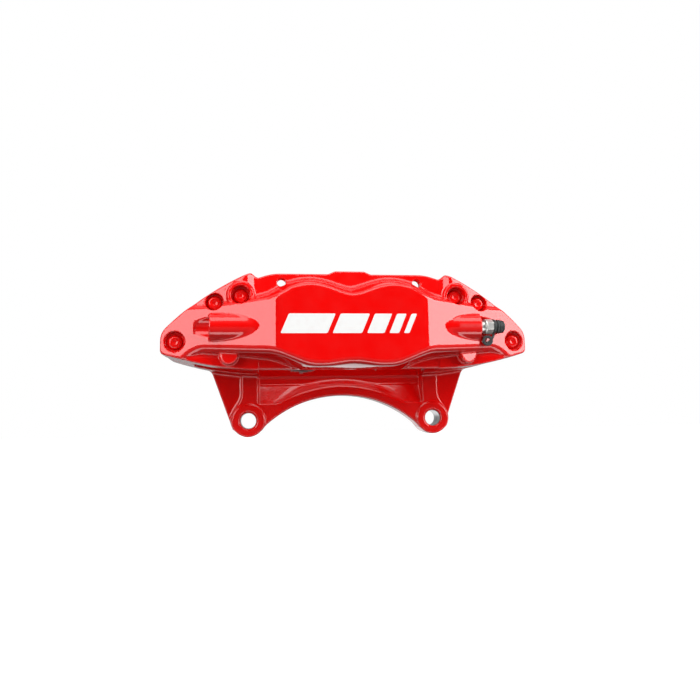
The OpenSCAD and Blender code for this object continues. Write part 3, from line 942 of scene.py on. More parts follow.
@dataclass
class HalfForm:
    """Distance field of one half, in millimetres.

    Its methods take x along the caliper, or ax, the distance from the middle; w, the distance
    outwards from the disc's centre plane; and z, the height. A name that ends in _foot is the place at
    which a shape starts inside its neighbour. A field that slopes is scaled to keep it close to a
    distance, and the last number of join, meet and cut is a fillet.
    """

    front: float
    half_len: float = 138.0
    half_bay: float = 68.0
    wall: float = 31.0
    flange: float = 39.0
    slot_w: float = 17.5
    slot_r: float = 167.0
    outer_r: float = 195.5
    axle: float = 74.0
    base_z: float = 36.5
    under_from: float = 60.0
    under_len: float = 480.0
    raised_face: RaisedFace = RaisedFace()
    tip_w: float = 29.5
    crease_x: float = 53.0
    bridge_foot: float = 12.0
    sill_z: float = 46.0
    sill_end: float = 118.0
    ledge_w: float = 34.0
    ledge_end: float = 121.0
    shoulder: tuple[float, float, float] = (76.0, 43.0, 0.226)
    facet_rise: float = 0.5
    knob: tuple[float, float, float] = (68.5, 103.8, 0.9)
    flange_z: float = 107.3
    flange_bend: tuple[float, float] = (57.5, 0.336)
    flange_foot: float = 60.0
    crown: tuple[float, float, float] = (16.0, 5.0, 2.2)
    cylinder_x: float = 31.0
    cylinder_z: float = 66.0
    bores: tuple[float, float] = (22.05, 20.05)
    bore_end: float = 52.0
    boot_seat: tuple[float, float] = (4.0, 2.0)
    pin: tuple[float, float, float] = (50.5, 100.5, 3.25)
    bleed: tuple[float, float, float] = (44.0, 67.0, 9.5)
    bleed_ends: tuple[float, float] = (102.0, 97.0)
    bleed_sink: float = 1.9
    bleed_foot: float = 58.0
    bleed_seat: tuple[float, float, float] = (7.6, 96.0, 113.0)
    bleed_thread: tuple[float, float, float] = (5.0, 91.0, 10.0)
    stub: tuple[float, float, float] = (88.5, 47.0, 6.6)
    stub_w: float = 41.0
    stub_tilt: float = 0.21
    stub_foot: float = 24.0
    bolts: tuple[tuple[float, float], ...] = ((80.0, 90.4), (98.8, 85.8), (127.3, 57.6))
    bolt_hole_r: float = 5.15
    bolt_pad: tuple[float, float, float] = (9.6, 43.2, 30.0)
    plate_z: tuple[float, float] = (68.0, 28.0)

    def outline(self, ax: np.ndarray, z: np.ndarray) -> np.ndarray:
        """Outline along the wheel axis: an arc about the axle, square ends, and an underside that
        rises with the square of the distance past its start.

        Args:
            ax: distance from the middle.
            z: height.

        Returns:
            The outline's field.
        """
        wheel = np.hypot(ax, z + self.axle) - self.outer_r
        under = self.base_z + np.maximum(ax - self.under_from, 0.0) ** 2 / self.under_len
        return meet(meet(wheel, ax - self.half_len, 4.0), (under - z) * 0.97, 3.0)

    def face(self, ax: np.ndarray) -> np.ndarray:
        """Depth of the raised face: flat over the panel, then straight back to the tip."""
        fall = (self.front - self.tip_w) / (self.half_len - self.crease_x)
        return join(np.full_like(ax, self.front), self.front - (ax - self.crease_x) * fall, 1.0)

    def raised(self, ax: np.ndarray, w: np.ndarray, z: np.ndarray) -> np.ndarray:
        """Raised face with its leaning sides, and the sill that carries the ledge across the bay.

        Args:
            ax: distance from the middle.
            w: distance from the disc's centre plane.
            z: height.

        Returns:
            The field: the side is the outline and the face mixed as the lean's cosine and sine.
        """
        shape = self.raised_face
        top = w - self.face(ax)
        lean = np.interp(z, shape.change_z, shape.lean)
        side = np.sqrt(1.0 - lean * lean) * shape.outline(ax, z) + lean * top
        body = meet(top * 0.95, side, np.interp(z, shape.change_z, shape.rounding))
        body = meet(body, self.outline(ax, z), 2.0)
        sill = meet(np.maximum(self.outline(ax, z), z - self.sill_z), w - self.ledge_w, 2.4)
        body = join(body, np.maximum(sill, ax - self.sill_end), 1.2)
        back = np.where(ax < self.half_bay, self.wall, self.bridge_foot)
        return meet(body, back - w, 0.8)

    def end_block(self, ax: np.ndarray, w: np.ndarray, z: np.ndarray) -> np.ndarray:
        """Bridge end with its bolt shoulder, the slanted facet by the pad flange, and the ledge.

        Args:
            ax: distance from the middle.
            w: distance from the disc's centre plane.
            z: height.

        Returns:
            The field.
        """
        shoulder_x, shoulder_w, shoulder_fall = self.shoulder
        knob_x, knob_z, knob_slope = self.knob
        shoulder = shoulder_w - (ax - shoulder_x) * shoulder_fall
        facet = self.flange + (ax - self.half_bay) * self.facet_rise
        block = meet(self.outline(ax, z), (w - join(shoulder, facet, 1.0)) * 0.96, 2.4)
        block = meet(block, self.half_bay - ax, 0.9)
        knob = (z - knob_z - knob_slope * (ax - knob_x)) / 1.345
        block = meet(block, knob, 1.4)
        above_edge = z - self.raised_face.edge.height(ax) - 0.5
        ledge = meet(meet(above_edge, self.ledge_w - w, 1.6), ax - self.ledge_end, 2.0)
        return cut(block, ledge, 1.0)

    def pad_flange(self, ax: np.ndarray, w: np.ndarray, z: np.ndarray) -> np.ndarray:
        """Plate across the top of the pad bay, with a low crown in the middle of its top edge.

        Args:
            ax: distance from the middle.
            w: distance from the disc's centre plane.
            z: height.

        Returns:
            The field.
        """
        bend_x, fall = self.flange_bend
        crown_x, crown_len, crown_rise = self.crown
        rise = crown_rise * np.clip((crown_x - ax) / crown_len, 0.0, 1.0)
        level = np.full_like(ax, self.flange_z)
        top = join(level, self.flange_z - (ax - bend_x) * fall, 2.0) + rise
        plate = meet(meet(z - top, w - self.flange, 1.6), self.wall - w, 1.0)
        return np.maximum(np.maximum(plate, ax - self.half_bay - 1.0), self.flange_foot - z)

    def bosses(self, x: np.ndarray, w: np.ndarray, z: np.ndarray) -> np.ndarray:
        """Bleed bosses along X and the tilted round stub on each ledge.

        Args:
            x: position along the caliper.
            w: distance from the disc's centre plane.
            z: height.

        Returns:
            The field.
        """
        ax = np.abs(x)
        bleed_w, bleed_z, bleed_r = self.bleed
        stub_x, stub_z, stub_r = self.stub
        end = np.where(x < 0, self.bleed_ends[0], self.bleed_ends[1])
        boss = np.hypot(w - bleed_w + self.bleed_sink, z - bleed_z) - bleed_r
        boss = np.maximum(boss, self.bleed_foot - ax)
        boss = meet(boss, ax - end, 1.4)
        stub_top = (w - self.stub_w + self.stub_tilt * (ax - stub_x)) * 0.98
        stub = meet(np.hypot(ax - stub_x, z - stub_z) - stub_r, stub_top, 1.4)
        return np.minimum(boss, np.maximum(stub, self.stub_foot - w))

    def casting(self, x: np.ndarray, w: np.ndarray, z: np.ndarray) -> np.ndarray:
        """The half as cast, with the round pad that each inner bolt's recess is cut in.

        Args:
            x: position along the caliper.
            w: distance from the disc's centre plane.
            z: height.

        Returns:
            The field.
        """
        ax = np.abs(x)
        bolt_x, bolt_z = self.bolts[0]
        pad_r, pad_w, pad_foot = self.bolt_pad
        body = join(self.end_block(ax, w, z), self.pad_flange(ax, w, z), 2.0)
        body = join(body, self.raised(ax, w, z), 2.4)
        pad = meet(np.hypot(ax - bolt_x, z - bolt_z) - pad_r, w - pad_w, 1.4)
        pad = np.maximum(meet(pad, self.outline(ax, z), 1.5), pad_foot - w)
        body = join(join(body, pad, 1.6), self.bosses(x, w, z), 1.4)
        return meet(body, self.outline(ax, z), 0.8)

    def cylinders(self, x: np.ndarray, w: np.ndarray, z: np.ndarray) -> np.ndarray:
        """Bores, with the counterbore that each dust boot sits in.

        Args:
            x: position along the caliper.
            w: distance from the disc's centre plane.
            z: height.

        Returns:
            The field of the space that is taken away.
        """
        seat_wider, seat_deep = self.boot_seat
        bore_r = np.where(x < 0, self.bores[0], self.bores[1])
        away = np.hypot(np.abs(x) - self.cylinder_x, z - self.cylinder_z)
        bore = meet(away - bore_r, w - self.bore_end, 0.8)
        return np.minimum(bore, meet(away - bore_r - seat_wider, w - self.wall - seat_deep, 0.4))

    def machining(self, x: np.ndarray, w: np.ndarray, z: np.ndarray) -> np.ndarray:
        """Everything that is cut from the casting of either half: pin holes, disc slot, bleed seats
        and threads, and cylinders.

        Args:
            x: position along the caliper.
            w: distance from the disc's centre plane.
            z: height.

        Returns:
            The field of the space that is taken away.
        """
        ax = np.abs(x)
        pin_x, pin_z, pin_r = self.pin
        bleed_w, bleed_z, _ = self.bleed
        seat_r, seat_from, seat_to = self.bleed_seat
        thread_r, thread_mid, thread_half = self.bleed_thread
        hole = np.hypot(ax - pin_x, z - pin_z) - pin_r
        slot = meet(np.hypot(ax, z + self.axle) - self.slot_r, w - self.slot_w, 1.5)
        line = np.hypot(w - bleed_w, z - bleed_z)
        seat = meet(line - seat_r, slab(ax, seat_from, seat_to), 1.2)
        seat = np.maximum(seat, np.where(x < 0, self.bleed_ends[0], self.bleed_ends[1]) - ax)
        thread = np.maximum(line - thread_r, np.abs(x - thread_mid) - thread_half)
        taken = np.minimum(np.minimum(hole, slot), np.minimum(seat, thread))
        return np.minimum(taken, self.cylinders(x, w, z))

    def half(self, x: np.ndarray, w: np.ndarray, z: np.ndarray,
             bolt_cuts: Sequence[BoltCut]) -> np.ndarray:
        """The machined half.

        Args:
            x: position along the caliper.
            w: distance from the disc's centre plane.
            z: height.
            bolt_cuts: each bolt's round recess, inner to tip.

        Returns:
            The field.
        """
        ax = np.abs(x)
        body = meet(self.casting(x, w, z), -w, 0.7)
        body = cut(body, self.machining(x, w, z), 0.9)
        for (bolt_x, bolt_z), (radius, floor, open_edge) in zip(self.bolts, bolt_cuts):
            away = np.hypot(ax - bolt_x, z - bolt_z)
            reach = np.hypot(bolt_x, bolt_z + self.axle)
            along = ((ax - bolt_x) * bolt_x + (z - bolt_z) * (bolt_z + self.axle)) / reach
            beside = np.sqrt(np.maximum(away ** 2 - along ** 2, 0.0))
            wide = np.where(along > 0, beside, away) if open_edge else away
            body = cut(body, meet(wide - radius, floor - w, 0.8), 0.8)
            body = cut(body, away - self.bolt_hole_r, 0.5)
        return body

    def machined(self, x: np.ndarray, w: np.ndarray, z: np.ndarray) -> np.ndarray:
        """Field of the space whose walls are bare metal: cylinders and their boot seats, the pad
        abutments, and the mouth of the bleed seat. It reaches a little past each wall.

        Args:
            x: position along the caliper.
            w: distance from the disc's centre plane.
            z: height.

        Returns:
            The field.
        """
        ax = np.abs(x)
        bleed_w, bleed_z, _ = self.bleed
        plate_mid, plate_half = self.plate_z
        bare = np.maximum(self.cylinders(x, w, z) - 0.5, 29.0 - w)
        abutment = np.maximum(np.abs(ax - self.half_bay) - 0.4, w - 30.6)
        abutment = np.maximum(abutment, np.abs(z - plate_mid) - plate_half)
        bare = np.minimum(bare, np.maximum(abutment, self.slot_w - w))
        mouth = np.maximum(np.hypot(w - bleed_w, z - bleed_z) - 7.4, np.abs(x - 88.6) - 8.8)
        return np.minimum(bare, mouth)


@dataclass
class WebForm:
    """Distance field of the mounting web, in millimetres, in the frame's own axes.

    Its methods take x along the caliper, or ax, the distance from the middle, y and z. The pockets
    on its outboard side are given by the x and z at which they stop.
    """

    axle: float = 74.0
    arch_r: float = 93.5
    lug_x: float = 76.0
    lug_r: float = 13.0
    hole_r: float = 6.2
    chamfer: float = 1.4
    front: float = -20.0
    back: float = -3.0
    plate_set_back: float = 1.4
    pocket: float = -13.0
    deep: float = -9.9
    side_x: float = 95.5
    side_z: float = 11.6
    low_z: float = -7.0
    high_z: float = 43.0
    carrier_x: float = 66.0
    carrier_z: float = 25.0
    carrier_y: float = 9.0
    rib_r: float = 100.0
    rib_lean: float = 0.7
    ramp_z: float = 21.0
    shallow: tuple[float, float] = (68.0, 13.5)
    deeper: tuple[float, float] = (67.0, 30.0)
    outer_x: float = 81.4
    outer_r: float = 14.2

    def sides(self, ax: np.ndarray, z: np.ndarray) -> np.ndarray:
        """Slanted outer edge of the web."""
        return 0.94 * (ax - self.side_x) - 0.342 * (z - self.side_z)

    def solid(self, x: np.ndarray, y: np.ndarray, z: np.ndarray) -> np.ndarray:
        """Plate with its lugs and the carrier that joins the housing, less the pockets, whose walls
        stand as ribs: one follows the arch and leans out, the others run up to the carrier.

        Args:
            x: position along the caliper.
            y: position along the wheel axis.
            z: height.

        Returns:
            The field.
        """
        ax = np.abs(x)
        wheel = np.hypot(ax, z + self.axle)
        away = np.hypot(ax - self.lug_x, z)
        outline = meet(self.arch_r - wheel, self.sides(ax, z), 1.0)
        outline = np.maximum(np.maximum(outline, z - self.high_z), self.low_z - z)
        plate = meet(outline, slab(y, self.front + self.plate_set_back, self.back), 1.6)
        lug = meet(away - self.lug_r, slab(y, self.front, 0.0), 1.4)
        body = join(plate, lug, 2.4)
        carrier = meet(ax - self.carrier_x, slab(z, self.carrier_z, self.high_z), 2.0)
        carrier = meet(carrier, slab(y, self.deep, self.carrier_y), 3.0)
        body = join(body, carrier, 4.0)
        rib = (self.rib_r - wheel + self.rib_lean * (y - self.front)) * 0.82
        ramp = np.maximum(0.91 * (y - self.pocket) + 0.41 * (self.ramp_z - z), y - self.deep)
        across, above = self.shallow
        shallow = meet(meet(rib, ax - across, 3.0), np.maximum(above - z, ramp), 2.0)
        body = cut(body, shallow, 1.6)
        across, above = self.deeper
        deeper = meet(meet(rib, ax - across, 3.0), np.maximum(above - z, y - self.deep), 1.6)
        body = cut(body, deeper, 1.4)
        outer = meet(meet(self.outer_x - ax, self.outer_r - away, 9.0), y - self.deep, 2.5)
        body = cut(body, outer, 1.6)
        hole = join(away - self.hole_r, away - self.hole_r - self.chamfer + (y - self.front), 0.4)
        return cut(body, hole, 0.5)

    def machined(self, x: np.ndarray, y: np.ndarray, z: np.ndarray) -> np.ndarray:
        """Field of the space whose walls are bare: lug holes and the lugs' seating faces.

        Args:
            x: position along the caliper.
            y: position along the wheel axis.
            z: height.

        Returns:
            The field.
        """
        away = np.hypot(np.abs(x) - self.lug_x, z)
        bare = np.maximum(away - self.hole_r - 0.35, self.front + 1.2 - y)
        return np.minimum(bare, np.maximum(away - self.lug_r + 0.6, -0.4 - y))


@dataclass
class Castings:
    """The two housings."""

    step: float = 0.8
    quick_step: float = 1.6
    most_triangles: int = 190000
    recesses: tuple[BoltCut, ...] = ((7.0, 36.5, False), (6.5, 32.5, False), (7.5, 28.0, False))
    head_seats: tuple[BoltCut, ...] = ((7.0, 30.0, False), (7.0, 27.0, True), (7.0, 20.5, False))
    outboard: HalfForm = field(default_factory=lambda: HalfForm(front=56.85))
    inboard: HalfForm = field(default_factory=lambda: HalfForm(front=54.85))
    web: WebForm = field(default_factory=WebForm)
    bay_foot: float = 33.5
    bay_half: float = 66.5
    inlet_z: float = 66.0
    inlet_boss: tuple[float, float, float] = (9.3, 60.9, 50.0)
    inlet_hole: tuple[float, float] = (4.5, 49.0)
    hollow_reach: float = 2.5
    edge_reach: float = 1.2
    cast_w: float = 32.0
    cast_fade: float = 6.0

    def outboard_field(self, x: np.ndarray, y: np.ndarray, z: np.ndarray) -> np.ndarray:
        """Outboard housing in the frame's own axes."""
        return self.outboard.half(x, DISC_Y - y, z, self.recesses)

    def inboard_field(self, x: np.ndarray, y: np.ndarray, z: np.ndarray) -> np.ndarray:
        """Inboard housing: the other half, the web, the wall of the pad bay cut flush, and the hose
        inlet.

        Args:
            x: position along the caliper.
            y: position along the wheel axis.
            z: height.

        Returns:
            The field.
        """
        w = y - DISC_Y
        boss_r, boss_w, boss_foot = self.inlet_boss
        hole_r, hole_floor = self.inlet_hole
        body = join(self.inboard.half(x, w, z, self.head_seats), self.web.solid(x, y, z), 3.0)
        bay = np.maximum(self.bay_foot - z, np.abs(x) - self.bay_half)
        body = cut(body, np.maximum(bay, w - self.inboard.wall), 0.3)
        away = np.hypot(x, z - self.inlet_z)
        inlet = np.maximum(meet(away - boss_r, w - boss_w, 1.4), boss_foot - w)
        body = join(body, inlet, 3.0)
        return cut(body, np.maximum(away - hole_r, hole_floor - w), 0.8)

    def outboard_bare(self, x: np.ndarray, y: np.ndarray, z: np.ndarray) -> np.ndarray:
        """Where the outboard housing is bare."""
        return self.outboard.machined(x, DISC_Y - y, z)

    def inboard_bare(self, x: np.ndarray, y: np.ndarray, z: np.ndarray) -> np.ndarray:
        """Where the inboard housing is bare: also the bolt seats, the inlet and the lugs.

        Args:
            x: position along the caliper.
            y: position along the wheel axis.
            z: height.

        Returns:
            The field.
        """
        w = y - DISC_Y
        boss_r, boss_w, _ = self.inlet_boss
        hole_r, hole_floor = self.inlet_hole
        bare = np.minimum(self.inboard.machined(x, w, z), self.web.machined(x, y, z))
        for (bolt_x, bolt_z), (radius, floor, _) in zip(self.inboard.bolts, self.head_seats):
            away = np.hypot(np.abs(x) - bolt_x, z - bolt_z)
            bare = np.minimum(bare, np.maximum(away - radius - 0.3, np.abs(w - floor) - 0.6))
        inlet = np.hypot(x, z - self.inlet_z)
        bare = np.minimum(bare, np.maximum(inlet - hole_r - 0.4, hole_floor - 1.0 - w))
        return np.minimum(bare, np.maximum(inlet - boss_r + 0.9, boss_w - 0.4 - w))

    def build(self, name: str, shape: Field, bare: Field, replaced: str,
              paint: bpy.types.Material) -> None:
        """Makes one housing, gives it true normals, its painted and bare areas, and the hollow value that
        darkens the paint as painted shade.

        Args:
            name: the piece's name.
            shape: the housing's field.
            bare: field of the space whose walls are machined.
            replaced: the frame's node that it stands for.
            paint: the finish.
        """
        low, high = (np.array(tuple(corner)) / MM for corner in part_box(replaced))
        step = self.step
        points, quads = level_surface(shape, low, high, step)
        piece = new_piece(name, points, quads)
        thin_out(piece, self.most_triangles)
        points = mesh_points(piece)
        slope = gradient(shape, points, 0.12)
        normals = slope / np.linalg.norm(slope, axis=1, keepdims=True)
        add_values(piece, "machined", np.clip(0.5 - bare(*points.T) / 0.5, 0.0, 1.0))
        # Hollow value: near 1 where the surface is closed in; the paint reads it as painted shade and as
        # dust.
        outside = shape(*(points + self.hollow_reach * normals).T)
        inside = shape(*(points - self.edge_reach * normals).T)
        add_values(piece, "hollow", np.clip(1.0 - outside / self.hollow_reach, 0.0, 1.0))
        add_values(piece, "edge", np.clip(1.0 + inside / self.edge_reach, 0.0, 1.0))
        from_disc = np.abs(points[:, 1] - DISC_Y)
        add_values(piece, "as_cast", np.clip((self.cast_w - from_disc) / self.cast_fade, 0.0, 1.0))
        piece.data.normals_split_custom_set_from_vertices(normals)
        piece.data.materials.append(paint)
        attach(piece, ROOT)
        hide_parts(replaced)
        LOG.info("%s: %d points kept", name, len(points))

    def dress(self, paint: bpy.types.Material) -> None:
        """Builds both housings."""
        self.build("outboard_casting", self.outboard_field, self.outboard_bare, "outboard_housing", paint)
        self.build("inboard_casting", self.inboard_field, self.inboard_bare, "inboard_housing", paint)


# ---------------------------------------------------------------- fittings

class Side(Enum):
    """The half that a piece belongs to; its value is the way that w grows along Y."""

    OUTBOARD = -1
    INBOARD = 1

    @property
    def label(self) -> str:
        """Name used in the frame."""
        return self.name.lower()


class End(Enum):
    """Left or right end; its value is the sign of x there."""

    LEFT = -1
    RIGHT = 1

    @property
    def label(self) -> str:
        """Name used in the frame."""
        return self.name.lower()


def lathe(name: str, profile: np.ndarray, centre: Sequence[float], along: Along, facing: int,
          body: str, replaced: str | None, material: bpy.types.Material,
          sides: int = 72) -> bpy.types.Object:
    """Turns one piece, dresses it and joins it to its body.

    Args:
        name: the piece's name.
        profile: see turned.
        centre: see turned.
        along: see turned.
        facing: see turned.
        body: the body that it rides on.
        replaced: the frame's node that it stands for, if any.
        material: its finish.
        sides: steps round the axis.

    Returns:
        The piece.
    """
    piece = new_piece(name, *turned(profile, centre, along, facing, sides))
    return settle(piece, body, replaced, material)


def settle(piece: bpy.types.Object, body: str, replaced: str | None,
           material: bpy.types.Material) -> bpy.types.Object:
    """Welds a piece, shades it, gives it its finish and joins it to its body.

    Args:
        piece: the piece.
        body: the body that it rides on.
        replaced: the frame's node that it stands for, if any.
        material: its finish.

    Returns:
        The piece.
    """
    weld(piece)
    crisp(piece)
    piece.data.materials.append(material)
    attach(piece, body)
    if replaced:
        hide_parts(replaced)
    return piece


@dataclass
class BridgeBolt:
    """One bridge bolt: a socket head on the inboard side and a painted end on the outboard side."""

    end: End
    place: str
    x: float
    z: float
    seat: float
    floor: float
    shank_r: float = 5.0
    head_r: float = 6.8
    head_h: float = 9.0
    beyond: float = 2.5

    def build(self, steel: bpy.types.Material, paint: bpy.types.Material) -> None:
        """Builds the bolt and the paint over its end.

        Args:
            steel: finish of the bolt.
            paint: finish of its end.
        """
        tail, top = -self.floor - self.beyond, self.seat + self.head_h
        shank = [(0.0, tail + 0.8), (self.shank_r - 1.0, tail + 0.8), (self.shank_r - 0.05, tail + 1.8),
                 (self.shank_r - 0.05, self.seat + 0.02), (self.head_r - 0.3, self.seat + 0.02),
                 (self.head_r, self.seat + 0.35), (self.head_r, top - 1.1), (self.head_r - 0.35, top - 0.3),
                 (self.head_r - 1.1, top)]
        socket = [(3.75, top, 0.0, UNCUT), (3.4, top - 0.35, 1.0, UNCUT), (3.38, top - 4.6, 1.0, UNCUT),
                  (2.6, top - 4.7, 0.0, UNCUT), (0.0, top - 5.6, 0.0, UNCUT)]
        rows = [(r, h, 0.0, UNCUT) for r, h in shank] + socket
        label = f"{self.end.label}_{self.place}"
        centre = (self.end.value * self.x, DISC_Y, self.z)
        lathe(f"bolt_{label}", np.array(rows), centre, Along.Y, 1, ROOT,
              f"bridge_bolt_{label}", steel)
        end = rounded([(0.0, -tail - 0.35), (1.3, -tail - 0.15), (2.0, -tail + 0.12), (3.6, -tail + 0.12),
                       (self.shank_r + 0.1, -tail - 1.2), (self.shank_r + 0.1, self.floor - 0.2),
                       (0.0, self.floor - 0.2)], 0.7)
        cap = lathe(f"bolt_end_{label}", end, centre, Along.Y, -1, ROOT, None, paint)
        # Painted shade: a fixed hollow value darkens the painted end, which sits in its recess, and adds a
        # little dust.
        add_values(cap, "hollow", np.full(len(cap.data.vertices), 0.25))


@dataclass
class BleedFitting:
    """One bleed screw with its rubber cap, strap and eyelet."""

    side: Side
    eye_w: float
    x: float
    w: float
    z: float

    @property
    def centre(self) -> tuple[float, float, float]:
        """Where the screw leaves its boss."""
        return (self.x, DISC_Y + self.side.value * self.w, self.z)

    def screw(self, steel: bpy.types.Material) -> None:
        """Threaded root, collar, hexagon and hollow nipple.

        Args:
            steel: its finish.
        """
        turns = np.arange(0.0, 15.0, 0.5)
        thread = [(4.9 if i % 2 else 4.35, -15.0 + t) for i, t in enumerate(turns)]
        plain = [(0.0, -17.0), (2.0, -17.0), (3.6, -15.5)] + thread + [
            (4.9, -0.3), (4.0, 0.3), (4.0, 2.7), (4.9, 3.0), (5.6, 3.3), (5.6, 4.2), (5.3, 4.4)]
        hexagon = [(4.98, 4.4, 1.0, 5.35), (4.98, 4.75, 1.0, 5.76), (4.98, 8.65, 1.0, 5.76),
                   (4.98, 9.0, 1.0, 5.3)]
        nipple = [(2.9, 9.0), (2.9, 11.6), (3.6, 12.2), (3.55, 12.8), (2.5, 15.8), (2.2, 16.0), (1.0, 16.0),
                  (1.0, 10.0), (0.0, 9.6)]
        rows = [(r, h, 0.0, UNCUT) for r, h in plain] + hexagon + [(r, h, 0.0, UNCUT) for r, h in nipple]
        label = f"{self.side.label}_bleed_screw"
        lathe(f"{label}_turned", np.array(rows), self.centre, Along.X, 1, label, label,
              steel, 96)

    def cap(self, rubber: bpy.types.Material) -> None:
        """Ribbed cap, flat strap and hanging eyelet. The strap follows two cubics that are fitted
        through its knots, and its section is a rounded box: |cos t| and |sin t| to a low power.

        Args:
            rubber: its finish.
        """
        start = 9.3
        outside = rounded([(3.95, start + 0.35), (4.3, start), (5.2, start), (5.6, start + 0.4),
                           (5.6, start + 1.5), (5.2, start + 1.9), (4.5, start + 2.0), (4.45, start + 2.9),
                           (5.3, start + 3.1), (5.35, start + 4.1), (4.75, start + 4.4),
                           (4.7, start + 5.0), (5.15, start + 5.2), (5.1, start + 6.1), (4.55, start + 6.4),
                           (4.5, start + 6.9), (4.85, start + 7.1), (4.6, start + 8.2), (3.6, start + 8.9),
                           (0.0, start + 8.95)], 0.35, 3)
        inside = np.array([(0.0, start + 7.55), (3.5, start + 7.5), (3.95, start + 7.0),
                           (3.95, start + 0.35)])
        tube = turned(np.concatenate([outside, inside]), self.centre, Along.X)
        eye = np.array(self.centre) + (5.4, self.side.value * (self.eye_w - self.w), -10.5)
        hole_r, ring_r, half_thick = 2.0, 4.0, 0.85
        ring = rounded([(hole_r, -0.5), (hole_r, -half_thick), (ring_r, -half_thick), (ring_r, half_thick),
                        (hole_r, half_thick), (hole_r, -0.5)], 0.35, 3)
        ring[:, 0] = np.clip(ring[:, 0], hole_r, ring_r - 0.05)
        loop = turned(ring, eye, Along.Y)
        knots = np.array([(4.7, -1.6), (7.2, -0.4), (8.4, 0.9), (9.5, 2.6), (10.35, 4.6), (10.4, 6.0)])
        steps = 28
        share = np.linspace(0.0, 1.0, steps)
        at = np.linspace(0.0, 1.0, len(knots))
        fitted = np.stack([np.polyval(np.polyfit(at, knots[:, k], 3), share) for k in (0, 1)], axis=1)
        path = np.column_stack([self.centre[0] + fitted[:, 0], np.linspace(eye[1], self.centre[1], steps),
                                eye[2] + fitted[:, 1]])
        turn = np.linspace(0.0, 2 * np.pi, 20, endpoint=False)
        squareness, half_thick, half_wide = 0.45, 0.75, 0.85
        thick = np.sign(np.cos(turn)) * np.abs(np.cos(turn)) ** squareness * half_thick
        wide = np.sign(np.sin(turn)) * np.abs(np.sin(turn)) ** squareness * half_wide
        strap = carried(np.column_stack([thick, wide]), path, (0.0, 1.0, 0.0))
        label = f"{self.side.label}_bleed_cap"
        piece = new_piece(f"{label}_moulded", *stitch(tube, loop, strap))
        settle(piece, label, label, rubber)


@dataclass
class Cylinder:
    """One piston with its dust boot."""

    side: Side
    end: End
    radius: float
    x: float
    z: float
    mouth: float
    nose: float = 28.5
    length: float = 20.0
    wall: float = 4.5

    def build(self, alloy: bpy.types.Material, rubber: bpy.types.Material) -> None:
        """Builds the hollow piston and the folded boot between it and its housing.

        Args:
            alloy: finish of the piston.
            rubber: finish of the boot.
        """
        r, nose = self.radius, self.nose
        inner = r - self.wall
        floor, back = nose + self.length - self.wall, nose + self.length
        profile = rounded([(0.0, floor), (inner - 1.5, floor), (inner, floor - 1.5), (inner, nose + 0.8),
                           (inner + 0.8, nose), (r - 0.9, nose), (r, nose + 0.9), (r, nose + 1.2),
                           (r - 1.6, nose + 1.25), (r - 1.6, nose + 3.15), (r, nose + 3.2), (r, back - 1.0),
                           (r - 1.0, back), (0.0, back)], 0.3, 3)
        centre = (self.end.value * self.x, DISC_Y, self.z)
        node = f"{self.side.label}_piston_{self.end.label}"
        lathe(f"{node}_turned", profile, centre, Along.Y, self.side.value, node, node,
              alloy, 120)
        self.boot(centre, node, rubber)

    def boot(self, centre: Sequence[float], node: str, rubber: bpy.types.Material) -> None:
        """Boot: a bead in the counterbore, one fold, and a bead in the piston's groove.

        Args:
            centre: the cylinder's axis at the disc's centre plane.
            node: the piston's name.
            rubber: its finish.
        """
        r, m = self.radius, self.mouth
        section = rounded([(r + 3.0, m + 1.85), (r + 3.95, m + 1.85), (r + 3.95, m + 0.5),
                           (r + 2.6, m + 0.35), (r + 2.35, m - 0.85), (r + 1.1, m - 0.95), (r + 0.6, m - 0.3),
                           (r - 0.1, m - 0.9), (r - 1.35, m - 0.9), (r - 1.35, m + 0.3), (r - 0.05, m + 0.35),
                           (r + 0.7, m + 0.35), (r + 1.2, m - 0.25), (r + 1.75, m - 0.2), (r + 1.9, m + 0.9),
                           (r + 2.2, m + 1.85), (r + 3.0, m + 1.85)], 0.4, 3)
        points, quads = turned(section, centre, Along.Y, self.side.value, 96)
        label = node.replace("piston", "boot")
        piece = new_piece(f"{label}_moulded", points, quads)
        weld(piece)
        piece.data.materials.append(rubber)
        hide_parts(label)
        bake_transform(piece)


@dataclass
class Artwork:
    """White racing bars printed across the front panel, in place of any lettering."""

    face: float
    height: float = 14.0
    lean: float = 6.0
    middle_z: float = 67.6
    start_x: float = -52.0
    widths: tuple[float, ...] = (33.0, 21.0, 12.5, 7.0, 4.0)
    gap: float = 3.6
    corner: float = 1.1
    proud: float = 0.07
    sunk: float = 0.2

    def bar(self, x: float, width: float) -> tuple[np.ndarray, np.ndarray]:
        """One leaning bar: its rounded outline, drawn in to its middle on both faces.

        Args:
            x: where its lower edge starts.
            width: its width.

        Returns:
            Points and quads.
        """
        half = self.height / 2
        corners = np.array([(0, -half), (width, -half), (width + self.lean, half), (self.lean, half)])
        centre = corners.mean(axis=0)
        loop = np.concatenate([[(corners[0] + corners[1]) / 2], corners[1:], corners[:1],
                               [(corners[0] + corners[1]) / 2]])
        edge = rounded(loop, self.corner, 5)[:-1]
        rows = [(0.0, self.proud), (0.5, self.proud), (1.0, self.proud),
                (1.0, -self.sunk), (0.5, -self.sunk), (0.0, -self.sunk)]
        flat = np.stack([centre + size * (edge - centre) for size, _ in rows])
        depth = np.array([DISC_Y - self.face - lift for _, lift in rows])
        points = np.stack([x + flat[..., 0], np.broadcast_to(depth[:, None], flat.shape[:2]),
                           self.middle_z + flat[..., 1]], axis=2)
        return points.reshape(-1, 3), grid_quads(len(rows), len(edge), wrap=True)

    def build(self, ink: bpy.types.Material) -> None:
        """Prints the bars.

        Args:
            ink: their finish.
        """
        bars, x = [], self.start_x
        for width in self.widths:
            bars.append(self.bar(x, width))
            x += width + self.gap
        piece = new_piece("panel_artwork", *stitch(*bars))
        settle(piece, ROOT, None, ink)


